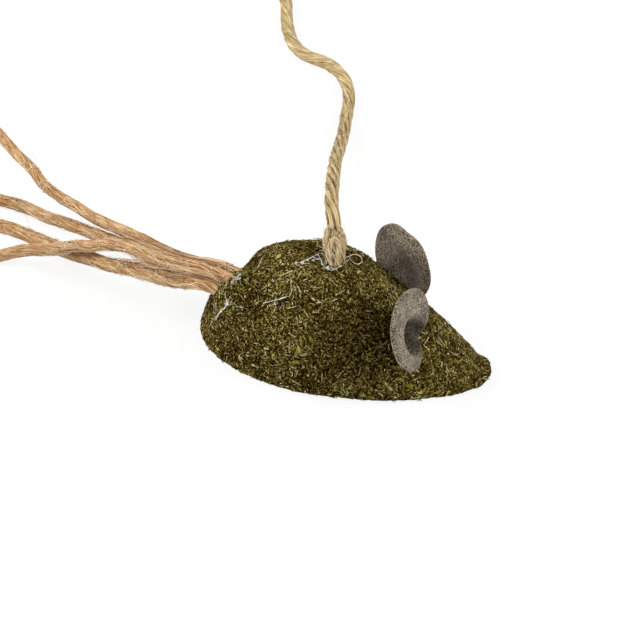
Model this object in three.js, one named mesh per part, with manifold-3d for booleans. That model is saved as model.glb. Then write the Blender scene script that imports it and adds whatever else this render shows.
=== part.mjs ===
// A cat teaser: a pressed catnip mouse on a jute cord that is knotted through the tip of a wooden stick.
// Millimetres, +Z up. The origin is the middle of the mouse's belly on the floor, and +X runs to its nose.

import * as THREE from 'three';
import { mergeVertices } from 'three/addons/utils/BufferGeometryUtils.js';
import Module from 'manifold-3d';

const wasm = await Module();
wasm.setup();

// Gap kept between pieces that touch, and the sides of round holes, plugs and knots
const CLEARANCE = 0.3;
const ROUND_SIDES = 16;

// Catnip body: half a teardrop with a flat belly. Fullness 2 is an ellipse and 1 a straight taper.
const BODY_LENGTH = 62;
const BODY_WIDTH = 34;
const BODY_HEIGHT = 24;
const BODY_WIDEST_X = -5.1;
const BODY_HIGHEST_X = -5.2;
const PLAN_FULLNESS_REAR = 2.03;
const PLAN_FULLNESS_FRONT = 1.71;
const PROFILE_FULLNESS_REAR = 1.96;
const PROFILE_FULLNESS_FRONT = 1.03;
const PROFILE_ROUNDING = 0.16;
const SECTION_FULLNESS = 2.1;
const BELLY_EDGE_RADIUS = 1;
const NOSE_LIFT = 2.2;
const NOSE_LIFT_LENGTH = 4.5;
const BODY_STATIONS = 28;
const BODY_SIDES = 30;

// Ears: felt discs, each glued at one point of its rim and rolled into a shallow cone about that point
const EAR_DIAMETER = 17.4;
const EAR_THICKNESS = 1.1;
const EAR_SINK = 0.5;
const EAR_ROOT = 1.2;
const EAR_STEPS_ROUND = 18;
const EAR_STEPS_OUT = 5;
const EAR_GLUE_DIAMETER = 2.4;
const EAR_GLUE_DEPTH = 3;
const LEFT_EAR = { x: 13.2, y: 4.6, sweep: 46, rise: 39, turn: -2, cone: 78 };
const RIGHT_EAR = { x: 15.4, y: -5.4, sweep: 27, rise: 45, turn: 22, cone: 67 };

// Jute cord, its buried end and the knot on the mouse's back
const CORD_DIAMETER = 3;
const CORD_SIDES = 8;
const CORD_EXIT_X = -4.3;
const CORD_EXIT_Y = -1.9;
const CORD_ANCHOR_DEPTH = 9;
const BACK_KNOT_LENGTH = 6.6;
const BACK_KNOT_DIAMETER = 4.8;
const BACK_KNOT_LEAN = 48;
const BACK_KNOT_BEARING = 108;
const CORD_GLUE_RIM = 1.2;
const CORD_GLUE_HEIGHT = 1.3;

// Cord from the knot over the back and along the floor: x, y and the height above lying on the floor
const CORD_ROUTE = [
  [-7.5, 9.2, 27.5], [-8.2, 13.2, 26.8], [-9, 20.2, 24.5], [-10, 29.2, 20.8], [-11, 39.7, 16.2],
  [-12, 50.7, 11.5], [-12.5, 60.7, 7.5], [-13, 69.7, 4.1], [-13.5, 77.7, 1.7], [-14, 83.7, 0.4],
  [-14.3, 88.2, 0], [-14.8, 93.2, 0], [-16, 98.2, 0], [-18.5, 103, 0], [-21.5, 105.9, 0],
  [-24.7, 107.3, 0], [-28.2, 108.6, 0], [-31.4, 111.7, 0], [-33.8, 117.2, 0], [-35.6, 124, 0],
  [-37.2, 131.7, 0], [-39.8, 137.1, 0.3], [-44, 140.3, 0.8],
];
const CORD_ROUTE_STEPS = 52;

// Coil of the spare cord: it winds in, climbs a layer and winds out again, clockwise from above.
// A quarter turn past its whole loops turns its end towards the stick.
const COIL_START_X = -56;
const COIL_START_Y = 141.3;
const COIL_OUTER_RADIUS = 20.4;
const COIL_LOOPS = 4;
const COIL_PITCH = 3.6;
const COIL_LAYER_STEP = 3.6;
const COIL_CLIMB_TURNS = 0.5;
const COIL_SIDES = 6;
const COIL_STEPS_PER_TURN = 24;

// Thread wound round the coil to hold it
const TIE_DIAMETER = 1.2;
const TIE_TURNS = 2.5;
const TIE_PITCH = 1.8;
const TIE_CLEARANCE = 0.45;
const TIE_SQUARENESS = 5;
const TIE_SIDES = 6;
const TIE_STEPS_PER_TURN = 20;

// Wooden stick with a cross hole for the cord, and the stopper knot behind it
const WAND_LENGTH = 240;
const WAND_DIAMETER = 8;
const WAND_HOLE_INSET = 10;
const WAND_TIP_RADIUS = 2.5;
const WAND_BUTT_CHAMFER = 0.6;
const WAND_TO_COIL = 1.6;
const WAND_SIDES = 28;
const WAND_KNOT_LENGTH = 6.5;
const WAND_KNOT_DIAMETER = 6.6;
const LEAD_STEPS = 14;
const CORD_END_LENGTH = 9;

// Tail: loose jute strands glued into a hole in the rump
const TAIL_Y = -1.8;
const TAIL_Z = 14.4;
const TAIL_YAW = 17;
const TAIL_HOLE_DEPTH = 8;
const TAIL_STRAND_DIAMETER = 2.6;
const TAIL_STRAND_GAP = 0.5;
const TAIL_STRAIGHT = 3.5;
const TAIL_STRAND_SIDES = 8;
const TAIL_STRAND_STEPS = 18;
const TAIL_GLUE_RIM = 1.6;
const TAIL_GLUE_HEIGHT = 2.2;

// Each strand's place in the bundle, sideways and up, and its route from the mouth of the hole
const TAIL_STRANDS = [
  {
    side: 1,
    up: 1,
    route: [
      [-12, 6.5, -0.4], [-23, 13, -2.8], [-32, 19, -5.1], [-37.5, 24, -6.7], [-42, 28.3, -8.2],
      [-47, 34, -10], [-52, 41.5, -11.5], [-58, 48.5, -12.5], [-63, 54.5, -13], [-68, 60, -13],
    ],
  },
  {
    side: 1,
    up: -1,
    route: [
      [-11.5, 7.5, -4], [-17.5, 9.8, -4.8], [-23, 12.5, -5.8], [-29, 16, -7.6], [-32.5, 17.8, -8.2],
      [-38.5, 21.5, -9.8], [-44.5, 25, -11.5], [-50.5, 28.5, -12.5], [-56, 30, -13], [-64, 31.5, -13],
    ],
  },
  {
    side: -1,
    up: -1,
    route: [
      [-12.5, 1.5, -3.9], [-18, 3.4, -4.9], [-22.5, 5.2, -6], [-27, 7, -7.3], [-31, 9.5, -8.6],
      [-34, 11, -9.5], [-38.5, 14, -11], [-42.5, 16.5, -12], [-48, 19.5, -13], [-53.5, 20.8, -13],
      [-61, 21.5, -13],
    ],
  },
  {
    side: -1,
    up: 1,
    route: [
      [-11, 1, 0.5], [-16.5, 3.5, -0.5], [-22, 6.5, -1.5], [-27.5, 8, -3], [-30.5, 8.5, -4.5],
      [-34, 9, -5.5], [-37.5, 9.5, -7.5], [-41, 10, -9], [-44.5, 11, -10.5], [-48, 11, -12],
      [-51, 10, -13], [-58, 7.5, -13],
    ],
  },
];

const CATNIP = new THREE.MeshStandardMaterial({ color: 0x5d502f, roughness: 0.95, metalness: 0 });
const FELT = new THREE.MeshStandardMaterial({ color: 0x7b7060, roughness: 1, metalness: 0 });
const JUTE_CORD = new THREE.MeshStandardMaterial({ color: 0xc9b38a, roughness: 0.9, metalness: 0 });
const JUTE_TAIL = new THREE.MeshStandardMaterial({ color: 0xbd9a72, roughness: 0.9, metalness: 0 });
const GLUE = new THREE.MeshStandardMaterial({ color: 0xd8d4ca, roughness: 0.45, metalness: 0 });
const WOOD = new THREE.MeshStandardMaterial({ color: 0xd3b383, roughness: 0.65, metalness: 0 });

const CORD_RADIUS = CORD_DIAMETER / 2;
const UP = new THREE.Vector3(0, 0, 1);
const radians = THREE.MathUtils.degToRad;

// Solids and cuts
function toSolid(geometry) {
  const bare = geometry.clone();
  bare.deleteAttribute('normal');
  bare.deleteAttribute('uv');
  const merged = mergeVertices(bare);
  return new wasm.Manifold(new wasm.Mesh({
    numProp: 3,
    vertProperties: new Float32Array(merged.attributes.position.array),
    triVerts: new Uint32Array(merged.index.array),
  }));
}

function toGeometry(solid) {
  const mesh = solid.getMesh();
  const geometry = new THREE.BufferGeometry();
  geometry.setAttribute('position', new THREE.BufferAttribute(mesh.vertProperties, 3));
  geometry.setIndex(new THREE.BufferAttribute(mesh.triVerts, 1));
  geometry.computeVertexNormals();
  return geometry;
}

function cutFrom(geometry, ...tools) {
  return toGeometry(tools.reduce((solid, tool) => solid.subtract(toSolid(tool)), toSolid(geometry)));
}

// Turns a shape that stands on +Y so that it stands on an axis, with its foot at a point
function stand(geometry, foot, axis) {
  const turn = new THREE.Quaternion().setFromUnitVectors(new THREE.Vector3(0, 1, 0), axis);
  return geometry.applyQuaternion(turn).translate(foot.x, foot.y, foot.z);
}

function rod(foot, axis, length, diameter) {
  const geometry = new THREE.CylinderGeometry(diameter / 2, diameter / 2, length, ROUND_SIDES);
  return stand(geometry.translate(0, length / 2, 0), foot, axis);
}

// A knot in a cord: flat ends as wide as the cord, and a bulge between them
function knot(foot, axis, length, diameter, grow) {
  const steps = ROUND_SIDES / 2;
  const bulge = diameter / 2 - CORD_RADIUS;
  const profile = [new THREE.Vector2(0, 0)];
  for (let i = 0; i <= steps; i += 1) {
    const share = i / steps;
    const radius = CORD_RADIUS + bulge * Math.sin(Math.PI * share) ** 0.7 + grow;
    profile.push(new THREE.Vector2(radius, length * share));
  }
  profile.push(new THREE.Vector2(0, length));
  return stand(new THREE.LatheGeometry(profile, ROUND_SIDES), foot, axis);
}

// A dab of glue: a low dome on a surface
function glueDab(point, normal, diameter, height) {
  const dome = new THREE.SphereGeometry(1, 20, 10).scale(diameter / 2, height, diameter / 2);
  return stand(dome, point, normal);
}

function tubeAlong(path, diameter, sides, steps) {
  const corners = Array.from({ length: sides }, (_, i) => {
    const angle = (2 * Math.PI * i) / sides;
    return new THREE.Vector2(Math.cos(angle), Math.sin(angle)).multiplyScalar(diameter / 2);
  });
  path.arcLengthDivisions = steps * 8;
  const section = new THREE.Shape(corners);
  return new THREE.ExtrudeGeometry(section, { steps, extrudePath: path, bevelEnabled: false });
}

function tubeThrough(points, diameter, sides, steps) {
  return tubeAlong(new THREE.CatmullRomCurve3(points, false, 'centripetal'), diameter, sides, steps);
}

// Body form
function swell(x, peakX, fullnessRear, fullnessFront, rounding) {
  const behind = x < peakX;
  const away = Math.min(1, Math.abs(x - peakX) / Math.abs((behind ? -1 : 1) * BODY_LENGTH / 2 - peakX));
  const eased = (Math.hypot(away, rounding) - rounding) / (Math.hypot(1, rounding) - rounding);
  const fullness = behind ? fullnessRear : fullnessFront;
  return Math.max(0, 1 - eased ** fullness) ** (1 / fullness);
}

function bodySection(x, grow) {
  const halfWidth = (BODY_WIDTH / 2 + grow)
    * swell(x, BODY_WIDEST_X, PLAN_FULLNESS_REAR, PLAN_FULLNESS_FRONT, 0);
  const height = (BODY_HEIGHT + grow)
    * swell(x, BODY_HIGHEST_X, PROFILE_FULLNESS_REAR, PROFILE_FULLNESS_FRONT, PROFILE_ROUNDING);
  const edge = Math.min(BELLY_EDGE_RADIUS, height / 2, halfWidth / 2);
  const lifted = Math.max(0, 1 - (BODY_LENGTH / 2 - x) / NOSE_LIFT_LENGTH);
  return { halfWidth, height, edge, lift: NOSE_LIFT * lifted ** 2 };
}

// Stations run from -1 at the rump to 1 at the nose, with 0 at the highest place
function bodyPoint(station, angle, grow) {
  const end = (Math.sign(station) * BODY_LENGTH) / 2;
  const x = THREE.MathUtils.lerp(BODY_HIGHEST_X, end, Math.abs(station));
  const { halfWidth, height, edge, lift } = bodySection(x, grow);
  const grownX = x * (1 + (2 * grow) / BODY_LENGTH);
  const side = Math.cos(angle);
  const rise = Math.sin(angle);
  if (rise >= 0) {
    const power = 2 / SECTION_FULLNESS;
    const y = halfWidth * Math.sign(side) * Math.abs(side) ** power;
    return [grownX, y, edge + (height - edge) * rise ** power + lift];
  }
  const y = halfWidth * side;
  const overEdge = THREE.MathUtils.clamp(Math.abs(y) - (halfWidth - edge), 0, edge);
  return [grownX, y, edge - Math.sqrt(edge ** 2 - overEdge ** 2) + lift];
}

function bodyGeometry(grow) {
  const geometry = new THREE.SphereGeometry(1, BODY_SIDES, BODY_STATIONS).rotateZ(-Math.PI / 2);
  const spots = geometry.attributes.position;
  for (let i = 0; i < spots.count; i += 1) {
    const angle = Math.atan2(spots.getZ(i), spots.getY(i));
    spots.setXYZ(i, ...bodyPoint(spots.getX(i), angle, grow));
  }
  return geometry;
}

function bodyTop(x, y) {
  const { halfWidth, height, edge, lift } = bodySection(x, 0);
  const across = Math.min(1, Math.abs(y) / halfWidth);
  const z = edge + (height - edge) * (1 - across ** SECTION_FULLNESS) ** (1 / SECTION_FULLNESS);
  return new THREE.Vector3(x, y, z + lift);
}

function bodyNormal(x, y) {
  const reach = 0.5;
  const along = bodyTop(x + reach, y).sub(bodyTop(x - reach, y));
  const across = bodyTop(x, y + reach).sub(bodyTop(x, y - reach));
  return along.cross(across).normalize();
}

// The place on the rump at a given side and height
function rumpPoint(y, z) {
  let rear = -BODY_LENGTH / 2;
  let front = BODY_HIGHEST_X;
  for (let i = 0; i < 40; i += 1) {
    const middle = (rear + front) / 2;
    if (bodyTop(middle, y).z < z) rear = middle;
    else front = middle;
  }
  return bodyTop(front, y);
}

const bodyHull = bodyGeometry(CLEARANCE);
const model = new THREE.Group();

function add(name, geometry, material) {
  const mesh = new THREE.Mesh(geometry, material);
  mesh.name = name;
  model.add(mesh);
}

// Ears
function earFrame({ y, sweep, rise, turn }) {
  const side = Math.sign(y);
  const swept = radians(sweep);
  const risen = radians(rise);
  const outward = new THREE.Vector3(
    -Math.sin(swept) * Math.cos(risen),
    side * Math.cos(swept) * Math.cos(risen),
    Math.sin(risen),
  );
  const forward = new THREE.Vector3(Math.cos(swept), side * Math.sin(swept), 0);
  const upward = outward.clone().cross(forward).multiplyScalar(-side);
  const facing = forward.multiplyScalar(Math.cos(radians(turn)))
    .addScaledVector(upward, Math.sin(radians(turn)));
  return { outward, facing };
}

function earGeometry(place) {
  const { outward, facing } = earFrame(place);
  const cone = radians(place.cone);
  const coneAxis = outward.clone().multiplyScalar(Math.cos(cone)).addScaledVector(facing, Math.sin(cone));
  const gluedAt = bodyTop(place.x, place.y).addScaledVector(UP, -EAR_SINK);
  const widest = Math.acos((EAR_ROOT + EAR_THICKNESS) / EAR_DIAMETER);
  const geometry = new THREE.BoxGeometry(1, 1, 1, EAR_STEPS_ROUND, EAR_STEPS_OUT, 1);
  const spots = geometry.attributes.position;
  for (let i = 0; i < spots.count; i += 1) {
    const bearing = 2 * widest * spots.getX(i);
    const distance = THREE.MathUtils.lerp(EAR_ROOT, EAR_DIAMETER * Math.cos(bearing), spots.getY(i) + 0.5);
    const fold = new THREE.Quaternion().setFromAxisAngle(coneAxis, -bearing / Math.sin(cone));
    const spot = outward.clone().multiplyScalar(distance)
      .addScaledVector(facing, EAR_THICKNESS * spots.getZ(i));
    spot.applyQuaternion(fold).add(gluedAt);
    spots.setXYZ(i, spot.x, spot.y, spot.z);
  }
  return geometry;
}

// Blind holes in the body, each with what fills it
const ears = { left: LEFT_EAR, right: RIGHT_EAR };
const bodyHoles = [];

for (const [side, place] of Object.entries(ears)) {
  const mouth = bodyTop(place.x, place.y);
  const normal = bodyNormal(place.x, place.y);
  const plugFoot = mouth.clone().addScaledVector(normal, -EAR_GLUE_DEPTH);
  const holeFoot = plugFoot.clone().addScaledVector(normal, -CLEARANCE);
  const holeDiameter = EAR_GLUE_DIAMETER + 2 * CLEARANCE;
  bodyHoles.push(rod(holeFoot, normal, EAR_GLUE_DEPTH + 2 * CLEARANCE + EAR_SINK, holeDiameter));
  add(`ear_${side}`, cutFrom(earGeometry(place), bodyHull), FELT);
  add(`ear_glue_${side}`, rod(plugFoot, normal, EAR_GLUE_DEPTH - CLEARANCE, EAR_GLUE_DIAMETER), GLUE);
}

// Cord end in the back, its knot and the glue round it
const cordExit = bodyTop(CORD_EXIT_X, CORD_EXIT_Y);
const anchorFoot = cordExit.clone().addScaledVector(UP, -CORD_ANCHOR_DEPTH);
const anchorHoleFoot = anchorFoot.clone().addScaledVector(UP, -CLEARANCE);
const anchorHoleDiameter = CORD_DIAMETER + 2 * CLEARANCE;
bodyHoles.push(rod(anchorHoleFoot, UP, CORD_ANCHOR_DEPTH + CORD_DIAMETER, anchorHoleDiameter));
const anchorLength = CORD_ANCHOR_DEPTH - 2 * CLEARANCE;
add('cord_anchor', rod(anchorFoot, UP, anchorLength, CORD_DIAMETER), JUTE_CORD);

const knotLean = radians(BACK_KNOT_LEAN);
const knotBearing = radians(BACK_KNOT_BEARING);
const knotAxis = new THREE.Vector3(
  Math.sin(knotLean) * Math.cos(knotBearing),
  Math.sin(knotLean) * Math.sin(knotBearing),
  Math.cos(knotLean),
);
const backKnot = knot(cordExit, knotAxis, BACK_KNOT_LENGTH, BACK_KNOT_DIAMETER, 0);
const backKnotRoom = knot(cordExit, knotAxis, BACK_KNOT_LENGTH, BACK_KNOT_DIAMETER, CLEARANCE);
const backDabDiameter = (BACK_KNOT_DIAMETER + 2 * CLEARANCE) / Math.cos(knotLean) + 2 * CORD_GLUE_RIM;
const backDab = glueDab(cordExit, bodyNormal(CORD_EXIT_X, CORD_EXIT_Y), backDabDiameter, CORD_GLUE_HEIGHT);
add('cord_knot', cutFrom(backKnot, bodyHull), JUTE_CORD);
add('cord_glue', cutFrom(backDab, bodyHull, backKnotRoom), GLUE);

// Tail
const tailMouth = rumpPoint(TAIL_Y, TAIL_Z);
const tailAxis = new THREE.Vector3(-Math.cos(radians(TAIL_YAW)), Math.sin(radians(TAIL_YAW)), 0);
const tailSide = tailAxis.clone().cross(UP);
const strandOffset = (TAIL_STRAND_DIAMETER + TAIL_STRAND_GAP) / 2;
const bundleDiameter = 2 * Math.SQRT2 * strandOffset + TAIL_STRAND_DIAMETER;
const tailHoleDiameter = bundleDiameter + 2 * CLEARANCE;
const tailHoleFoot = tailMouth.clone().addScaledVector(tailAxis, -TAIL_HOLE_DEPTH);
bodyHoles.push(rod(tailHoleFoot, tailAxis, TAIL_HOLE_DEPTH + BODY_LENGTH / 2, tailHoleDiameter));

TAIL_STRANDS.forEach(({ side, up, route }, i) => {
  const inBundle = (distance) => tailMouth.clone()
    .addScaledVector(tailAxis, distance)
    .addScaledVector(tailSide, side * strandOffset)
    .addScaledVector(UP, up * strandOffset);
  const outside = route.map((step) => {
    const spot = tailMouth.clone().add(new THREE.Vector3(...step));
    return spot.setZ(Math.max(spot.z, TAIL_STRAND_DIAMETER / 2));
  });
  const points = [inBundle(CLEARANCE - TAIL_HOLE_DEPTH), inBundle(0), inBundle(TAIL_STRAIGHT), ...outside];
  const strand = tubeThrough(points, TAIL_STRAND_DIAMETER, TAIL_STRAND_SIDES, TAIL_STRAND_STEPS);
  add(`tail_strand_${i + 1}`, strand, JUTE_TAIL);
});

const tailDab = glueDab(
  tailMouth,
  bodyNormal(tailMouth.x, tailMouth.y),
  bundleDiameter + 2 * (CLEARANCE + TAIL_GLUE_RIM),
  TAIL_GLUE_HEIGHT,
);
const bundleRoom = rod(tailHoleFoot, tailAxis, TAIL_HOLE_DEPTH + BODY_LENGTH / 2, tailHoleDiameter);
add('tail_glue', cutFrom(tailDab, bodyHull, bundleRoom), GLUE);
add('catnip_body', cutFrom(bodyGeometry(0), ...bodyHoles), CATNIP);

// Coil
const coilTurns = Math.round(COIL_LOOPS) + 0.25;
const coilCentre = new THREE.Vector3(COIL_START_X, COIL_START_Y + COIL_OUTER_RADIUS, 0);
const coilBase = TIE_DIAMETER + TIE_CLEARANCE + CORD_RADIUS;
const coilStraight = CORD_DIAMETER / (2 * Math.PI * COIL_OUTER_RADIUS);

function coilRadius(turn) {
  return COIL_OUTER_RADIUS - COIL_PITCH * (coilTurns / 2 - Math.abs(turn - coilTurns / 2));
}

function coilPoint(turn) {
  const wound = THREE.MathUtils.clamp(turn, 0, coilTurns);
  const angle = -Math.PI / 2 - 2 * Math.PI * wound;
  const climbStart = (coilTurns - COIL_CLIMB_TURNS) / 2;
  const climbed = THREE.MathUtils.smoothstep(wound, climbStart, climbStart + COIL_CLIMB_TURNS);
  const spot = new THREE.Vector3(
    coilCentre.x + coilRadius(wound) * Math.cos(angle),
    coilCentre.y + coilRadius(wound) * Math.sin(angle),
    coilBase + COIL_LAYER_STEP * climbed,
  );
  const straight = 2 * Math.PI * COIL_OUTER_RADIUS * (turn - wound);
  const heading = new THREE.Vector3(Math.sin(angle), -Math.cos(angle), 0);
  return spot.addScaledVector(heading, straight);
}

class CoilPath extends THREE.Curve {
  getPoint(t) {
    return coilPoint(THREE.MathUtils.lerp(-coilStraight, coilTurns + coilStraight, t));
  }
}

const coilSteps = Math.round(coilTurns * COIL_STEPS_PER_TURN) + 4;
add('cord_coil', tubeAlong(new CoilPath(), CORD_DIAMETER, COIL_SIDES, coilSteps), JUTE_CORD);

// The least gap of a wound tube to itself, between points more than half a turn apart
function leastGap(path, turns, diameter) {
  const perTurn = 72;
  const spots = path.getSpacedPoints(Math.round(turns * perTurn));
  let least = Infinity;
  spots.forEach((spot, i) => {
    for (const other of spots.slice(i + perTurn / 2)) least = Math.min(least, spot.distanceTo(other));
  });
  return least - diameter;
}

// Tie round the side of the coil that faces +X
const tiedTurns = [];
for (let turn = 0.75; turn < coilTurns; turn += 1) tiedTurns.push(coilRadius(turn));
const tieMiddle = (Math.min(...tiedTurns) + Math.max(...tiedTurns)) / 2;
const tieMargin = CORD_RADIUS + TIE_CLEARANCE + TIE_DIAMETER / 2;
const tieHalfWidth = (Math.max(...tiedTurns) - Math.min(...tiedTurns)) / 2 + tieMargin;
const tieHalfHeight = COIL_LAYER_STEP / 2 + tieMargin;

class TiePath extends THREE.Curve {
  getPoint(t) {
    const angle = Math.PI + 2 * Math.PI * TIE_TURNS * t;
    const squared = (value) => Math.sign(value) * Math.abs(value) ** (2 / TIE_SQUARENESS);
    return new THREE.Vector3(
      coilCentre.x + tieMiddle + tieHalfWidth * squared(Math.cos(angle)),
      coilCentre.y + (t - 0.5) * TIE_TURNS * TIE_PITCH,
      coilBase + COIL_LAYER_STEP / 2 + tieHalfHeight * squared(Math.sin(angle)),
    );
  }
}

const tieSteps = Math.round(TIE_TURNS * TIE_STEPS_PER_TURN);
add('coil_tie', tubeAlong(new TiePath(), TIE_DIAMETER, TIE_SIDES, tieSteps), JUTE_CORD);

// Cord from the knot on the back to the coil
const coilStart = coilPoint(-coilStraight);
const knotTop = cordExit.clone().addScaledVector(knotAxis, BACK_KNOT_LENGTH + CLEARANCE);
const runPoints = [
  knotTop,
  knotTop.clone().addScaledVector(knotAxis, CORD_DIAMETER / 2),
  ...CORD_ROUTE.map(([x, y, lift]) => new THREE.Vector3(x, y, CORD_RADIUS + lift)),
  coilStart.clone().add(new THREE.Vector3(CORD_DIAMETER, 0, 0)),
  coilStart.clone().add(new THREE.Vector3(CLEARANCE, 0, 0)),
];
add('cord_run', tubeThrough(runPoints, CORD_DIAMETER, CORD_SIDES, CORD_ROUTE_STEPS), JUTE_CORD);

// Stick behind the coil, level with the floor
const coilEnd = coilPoint(coilTurns + coilStraight);
const wandY = coilCentre.y + COIL_OUTER_RADIUS + CORD_RADIUS + WAND_TO_COIL + WAND_DIAMETER / 2;
const wandZ = WAND_DIAMETER / 2;
const wandButtX = coilEnd.x - WAND_HOLE_INSET + WAND_LENGTH;

function wandGeometry() {
  const radius = WAND_DIAMETER / 2;
  const rounding = Math.min(WAND_TIP_RADIUS, 0.8 * radius);
  const tip = new THREE.Path();
  tip.moveTo(0, 0);
  tip.lineTo(radius - WAND_BUTT_CHAMFER, 0);
  tip.lineTo(radius, WAND_BUTT_CHAMFER);
  tip.absarc(radius - rounding, WAND_LENGTH - rounding, rounding, 0, Math.PI / 2);
  tip.lineTo(0, WAND_LENGTH);
  const stick = new THREE.LatheGeometry(tip.getPoints(5), WAND_SIDES);
  const butt = new THREE.Vector3(wandButtX, wandY, wandZ);
  const hole = rod(
    new THREE.Vector3(coilEnd.x, wandY - WAND_DIAMETER, wandZ),
    new THREE.Vector3(0, 1, 0),
    2 * WAND_DIAMETER,
    CORD_DIAMETER + 2 * CLEARANCE,
  );
  return cutFrom(stand(stick, butt, new THREE.Vector3(-1, 0, 0)), hole);
}

add('wand_stick', wandGeometry(), WOOD);

// Cord from the coil through the stick to its stopper knot
const leadStart = coilEnd.clone().add(new THREE.Vector3(0, CLEARANCE, 0));
const leadEnd = new THREE.Vector3(coilEnd.x, wandY + WAND_DIAMETER / 2, wandZ);
const leadLevel = new THREE.Vector3(coilEnd.x, wandY - WAND_DIAMETER / 2 - CORD_DIAMETER, wandZ);
const leadPoints = [
  leadStart,
  leadStart.clone().add(new THREE.Vector3(0, CORD_DIAMETER, 0)),
  leadLevel,
  leadLevel.clone().add(new THREE.Vector3(0, CORD_DIAMETER, 0)),
  leadEnd,
];
add('cord_lead', tubeThrough(leadPoints, CORD_DIAMETER, CORD_SIDES, LEAD_STEPS), JUTE_CORD);

const wandKnotFoot = leadEnd.clone().add(new THREE.Vector3(0, CLEARANCE, 0));
const wandKnot = knot(wandKnotFoot, new THREE.Vector3(0, 1, 0), WAND_KNOT_LENGTH, WAND_KNOT_DIAMETER, 0);
add('wand_knot', wandKnot, JUTE_CORD);

const cordEndFoot = wandKnotFoot.clone().add(new THREE.Vector3(0, WAND_KNOT_LENGTH + CLEARANCE, 0));
add('cord_end', rod(cordEndFoot, new THREE.Vector3(0, 1, 0), CORD_END_LENGTH, CORD_DIAMETER), JUTE_CORD);

const coilGap = leastGap(new CoilPath(), coilTurns, CORD_DIAMETER);
const tieGap = leastGap(new TiePath(), TIE_TURNS, TIE_DIAMETER);
console.log(`least gaps to themselves: coil ${coilGap.toFixed(2)} mm, tie ${tieGap.toFixed(2)} mm`);

export default model;
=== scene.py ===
"""Dresses the cat teaser: a pressed catnip mouse with felt ears and a jute tail, on a cord tied to a stick.

Sizes are in metres, or in millimetres where a name ends in MM. +Z is up, the origin is the middle of the
mouse's belly, and +X runs to its nose.
"""

from __future__ import annotations

import logging
import math
from abc import ABC, abstractmethod
from dataclasses import dataclass
from enum import Enum
from typing import Sequence

import bpy
import numpy as np
from bpy.types import Material, Node, NodeSocket, NodeTree, Object
from mathutils import Matrix, Vector, noise

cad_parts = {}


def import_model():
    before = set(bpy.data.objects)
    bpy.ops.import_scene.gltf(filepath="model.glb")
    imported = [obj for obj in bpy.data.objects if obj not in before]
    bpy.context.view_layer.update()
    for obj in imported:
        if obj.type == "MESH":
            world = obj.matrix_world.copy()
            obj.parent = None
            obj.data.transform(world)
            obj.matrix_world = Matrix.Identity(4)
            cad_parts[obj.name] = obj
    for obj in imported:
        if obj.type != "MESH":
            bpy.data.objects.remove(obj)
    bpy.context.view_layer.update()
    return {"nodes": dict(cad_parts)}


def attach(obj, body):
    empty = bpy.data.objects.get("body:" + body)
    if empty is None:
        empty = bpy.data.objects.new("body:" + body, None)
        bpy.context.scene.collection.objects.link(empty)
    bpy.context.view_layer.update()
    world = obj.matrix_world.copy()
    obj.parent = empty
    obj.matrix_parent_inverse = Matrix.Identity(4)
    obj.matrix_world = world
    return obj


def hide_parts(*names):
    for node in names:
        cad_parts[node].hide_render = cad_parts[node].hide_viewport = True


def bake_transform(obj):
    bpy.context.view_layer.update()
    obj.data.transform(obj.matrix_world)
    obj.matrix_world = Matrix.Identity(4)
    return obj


Array = np.ndarray
Chance = np.random.Generator
Pair = tuple[float, float]
Triple = tuple[float, float, float]
Colour = tuple[float, float, float, float]
Stops = Sequence[tuple[float, Colour]]
Faces = list[tuple[int, ...]]
Shape = tuple[Array, Faces]

LOG = logging.getLogger("cat_teaser")
MM = 0.001
X_AXIS = np.array([1.0, 0.0, 0.0])
Y_AXIS = np.array([0.0, 1.0, 0.0])
UP = np.array([0.0, 0.0, 1.0])
UPPER_FRONT = np.array([0.1, -0.5, 0.85])
WHITE: Colour = (1.0, 1.0, 1.0, 1.0)
BLACK: Colour = (0.0, 0.0, 0.0, 1.0)
FULL_TURN = 2 * math.pi
FLOOR_GAP = 0.05 * MM


class Body(str, Enum):
    """The moving bodies that pieces ride on."""

    MOUSE = "mouse"
    CORD = "cord"
    WAND = "wand"
    EAR_LEFT = "ear_left"
    EAR_RIGHT = "ear_right"


class Slot(str, Enum):
    """The material slots of the record."""

    CATNIP = "catnip"
    FELT = "felt"
    CORD = "jute_cord"
    TAIL = "jute_tail"
    GLUE = "glue"
    WOOD = "wood"


def mm(*lengths: float) -> tuple[float, ...]:
    """Turns millimetres into metres."""
    return tuple(length * MM for length in lengths)


def srgb(red: int, green: int, blue: int) -> Colour:
    """Turns an 8-bit display colour into a linear one with full alpha.

    Args:
        red: Red, 0 to 255.
        green: Green, 0 to 255.
        blue: Blue, 0 to 255.

    Returns:
        The linear colour.
    """
    shares = [channel / 255 for channel in (red, green, blue)]
    linear = [s / 12.92 if s <= 0.04045 else ((s + 0.055) / 1.055) ** 2.4 for s in shares]
    return (*linear, 1.0)


def unit(vectors: Array) -> Array:
    """Scales vectors to length one."""
    return vectors / np.maximum(np.linalg.norm(vectors, axis=-1, keepdims=True), 1e-12)


def smoothstep(value: Array | float, low: float, high: float) -> Array:
    """Eases a value from 0 at low to 1 at high."""
    share = np.clip((np.asarray(value) - low) / (high - low), 0, 1)
    return share * share * (3 - 2 * share)


def round_angles(count: int) -> Array:
    """Gives even angles round a circle."""
    return np.linspace(0, FULL_TURN, count, endpoint=False)


def around(angle: Array | float, across: Array, over: Array) -> Array:
    """Gives the directions at angles that turn from one direction to another."""
    return np.cos(angle)[..., None] * across + np.sin(angle)[..., None] * over


def lifted(points: Array, least: float = 0.0) -> Array:
    """Gives the points with none lower than a least height."""
    return np.concatenate([points[..., :2], np.maximum(points[..., 2:], least)], axis=-1)


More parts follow.
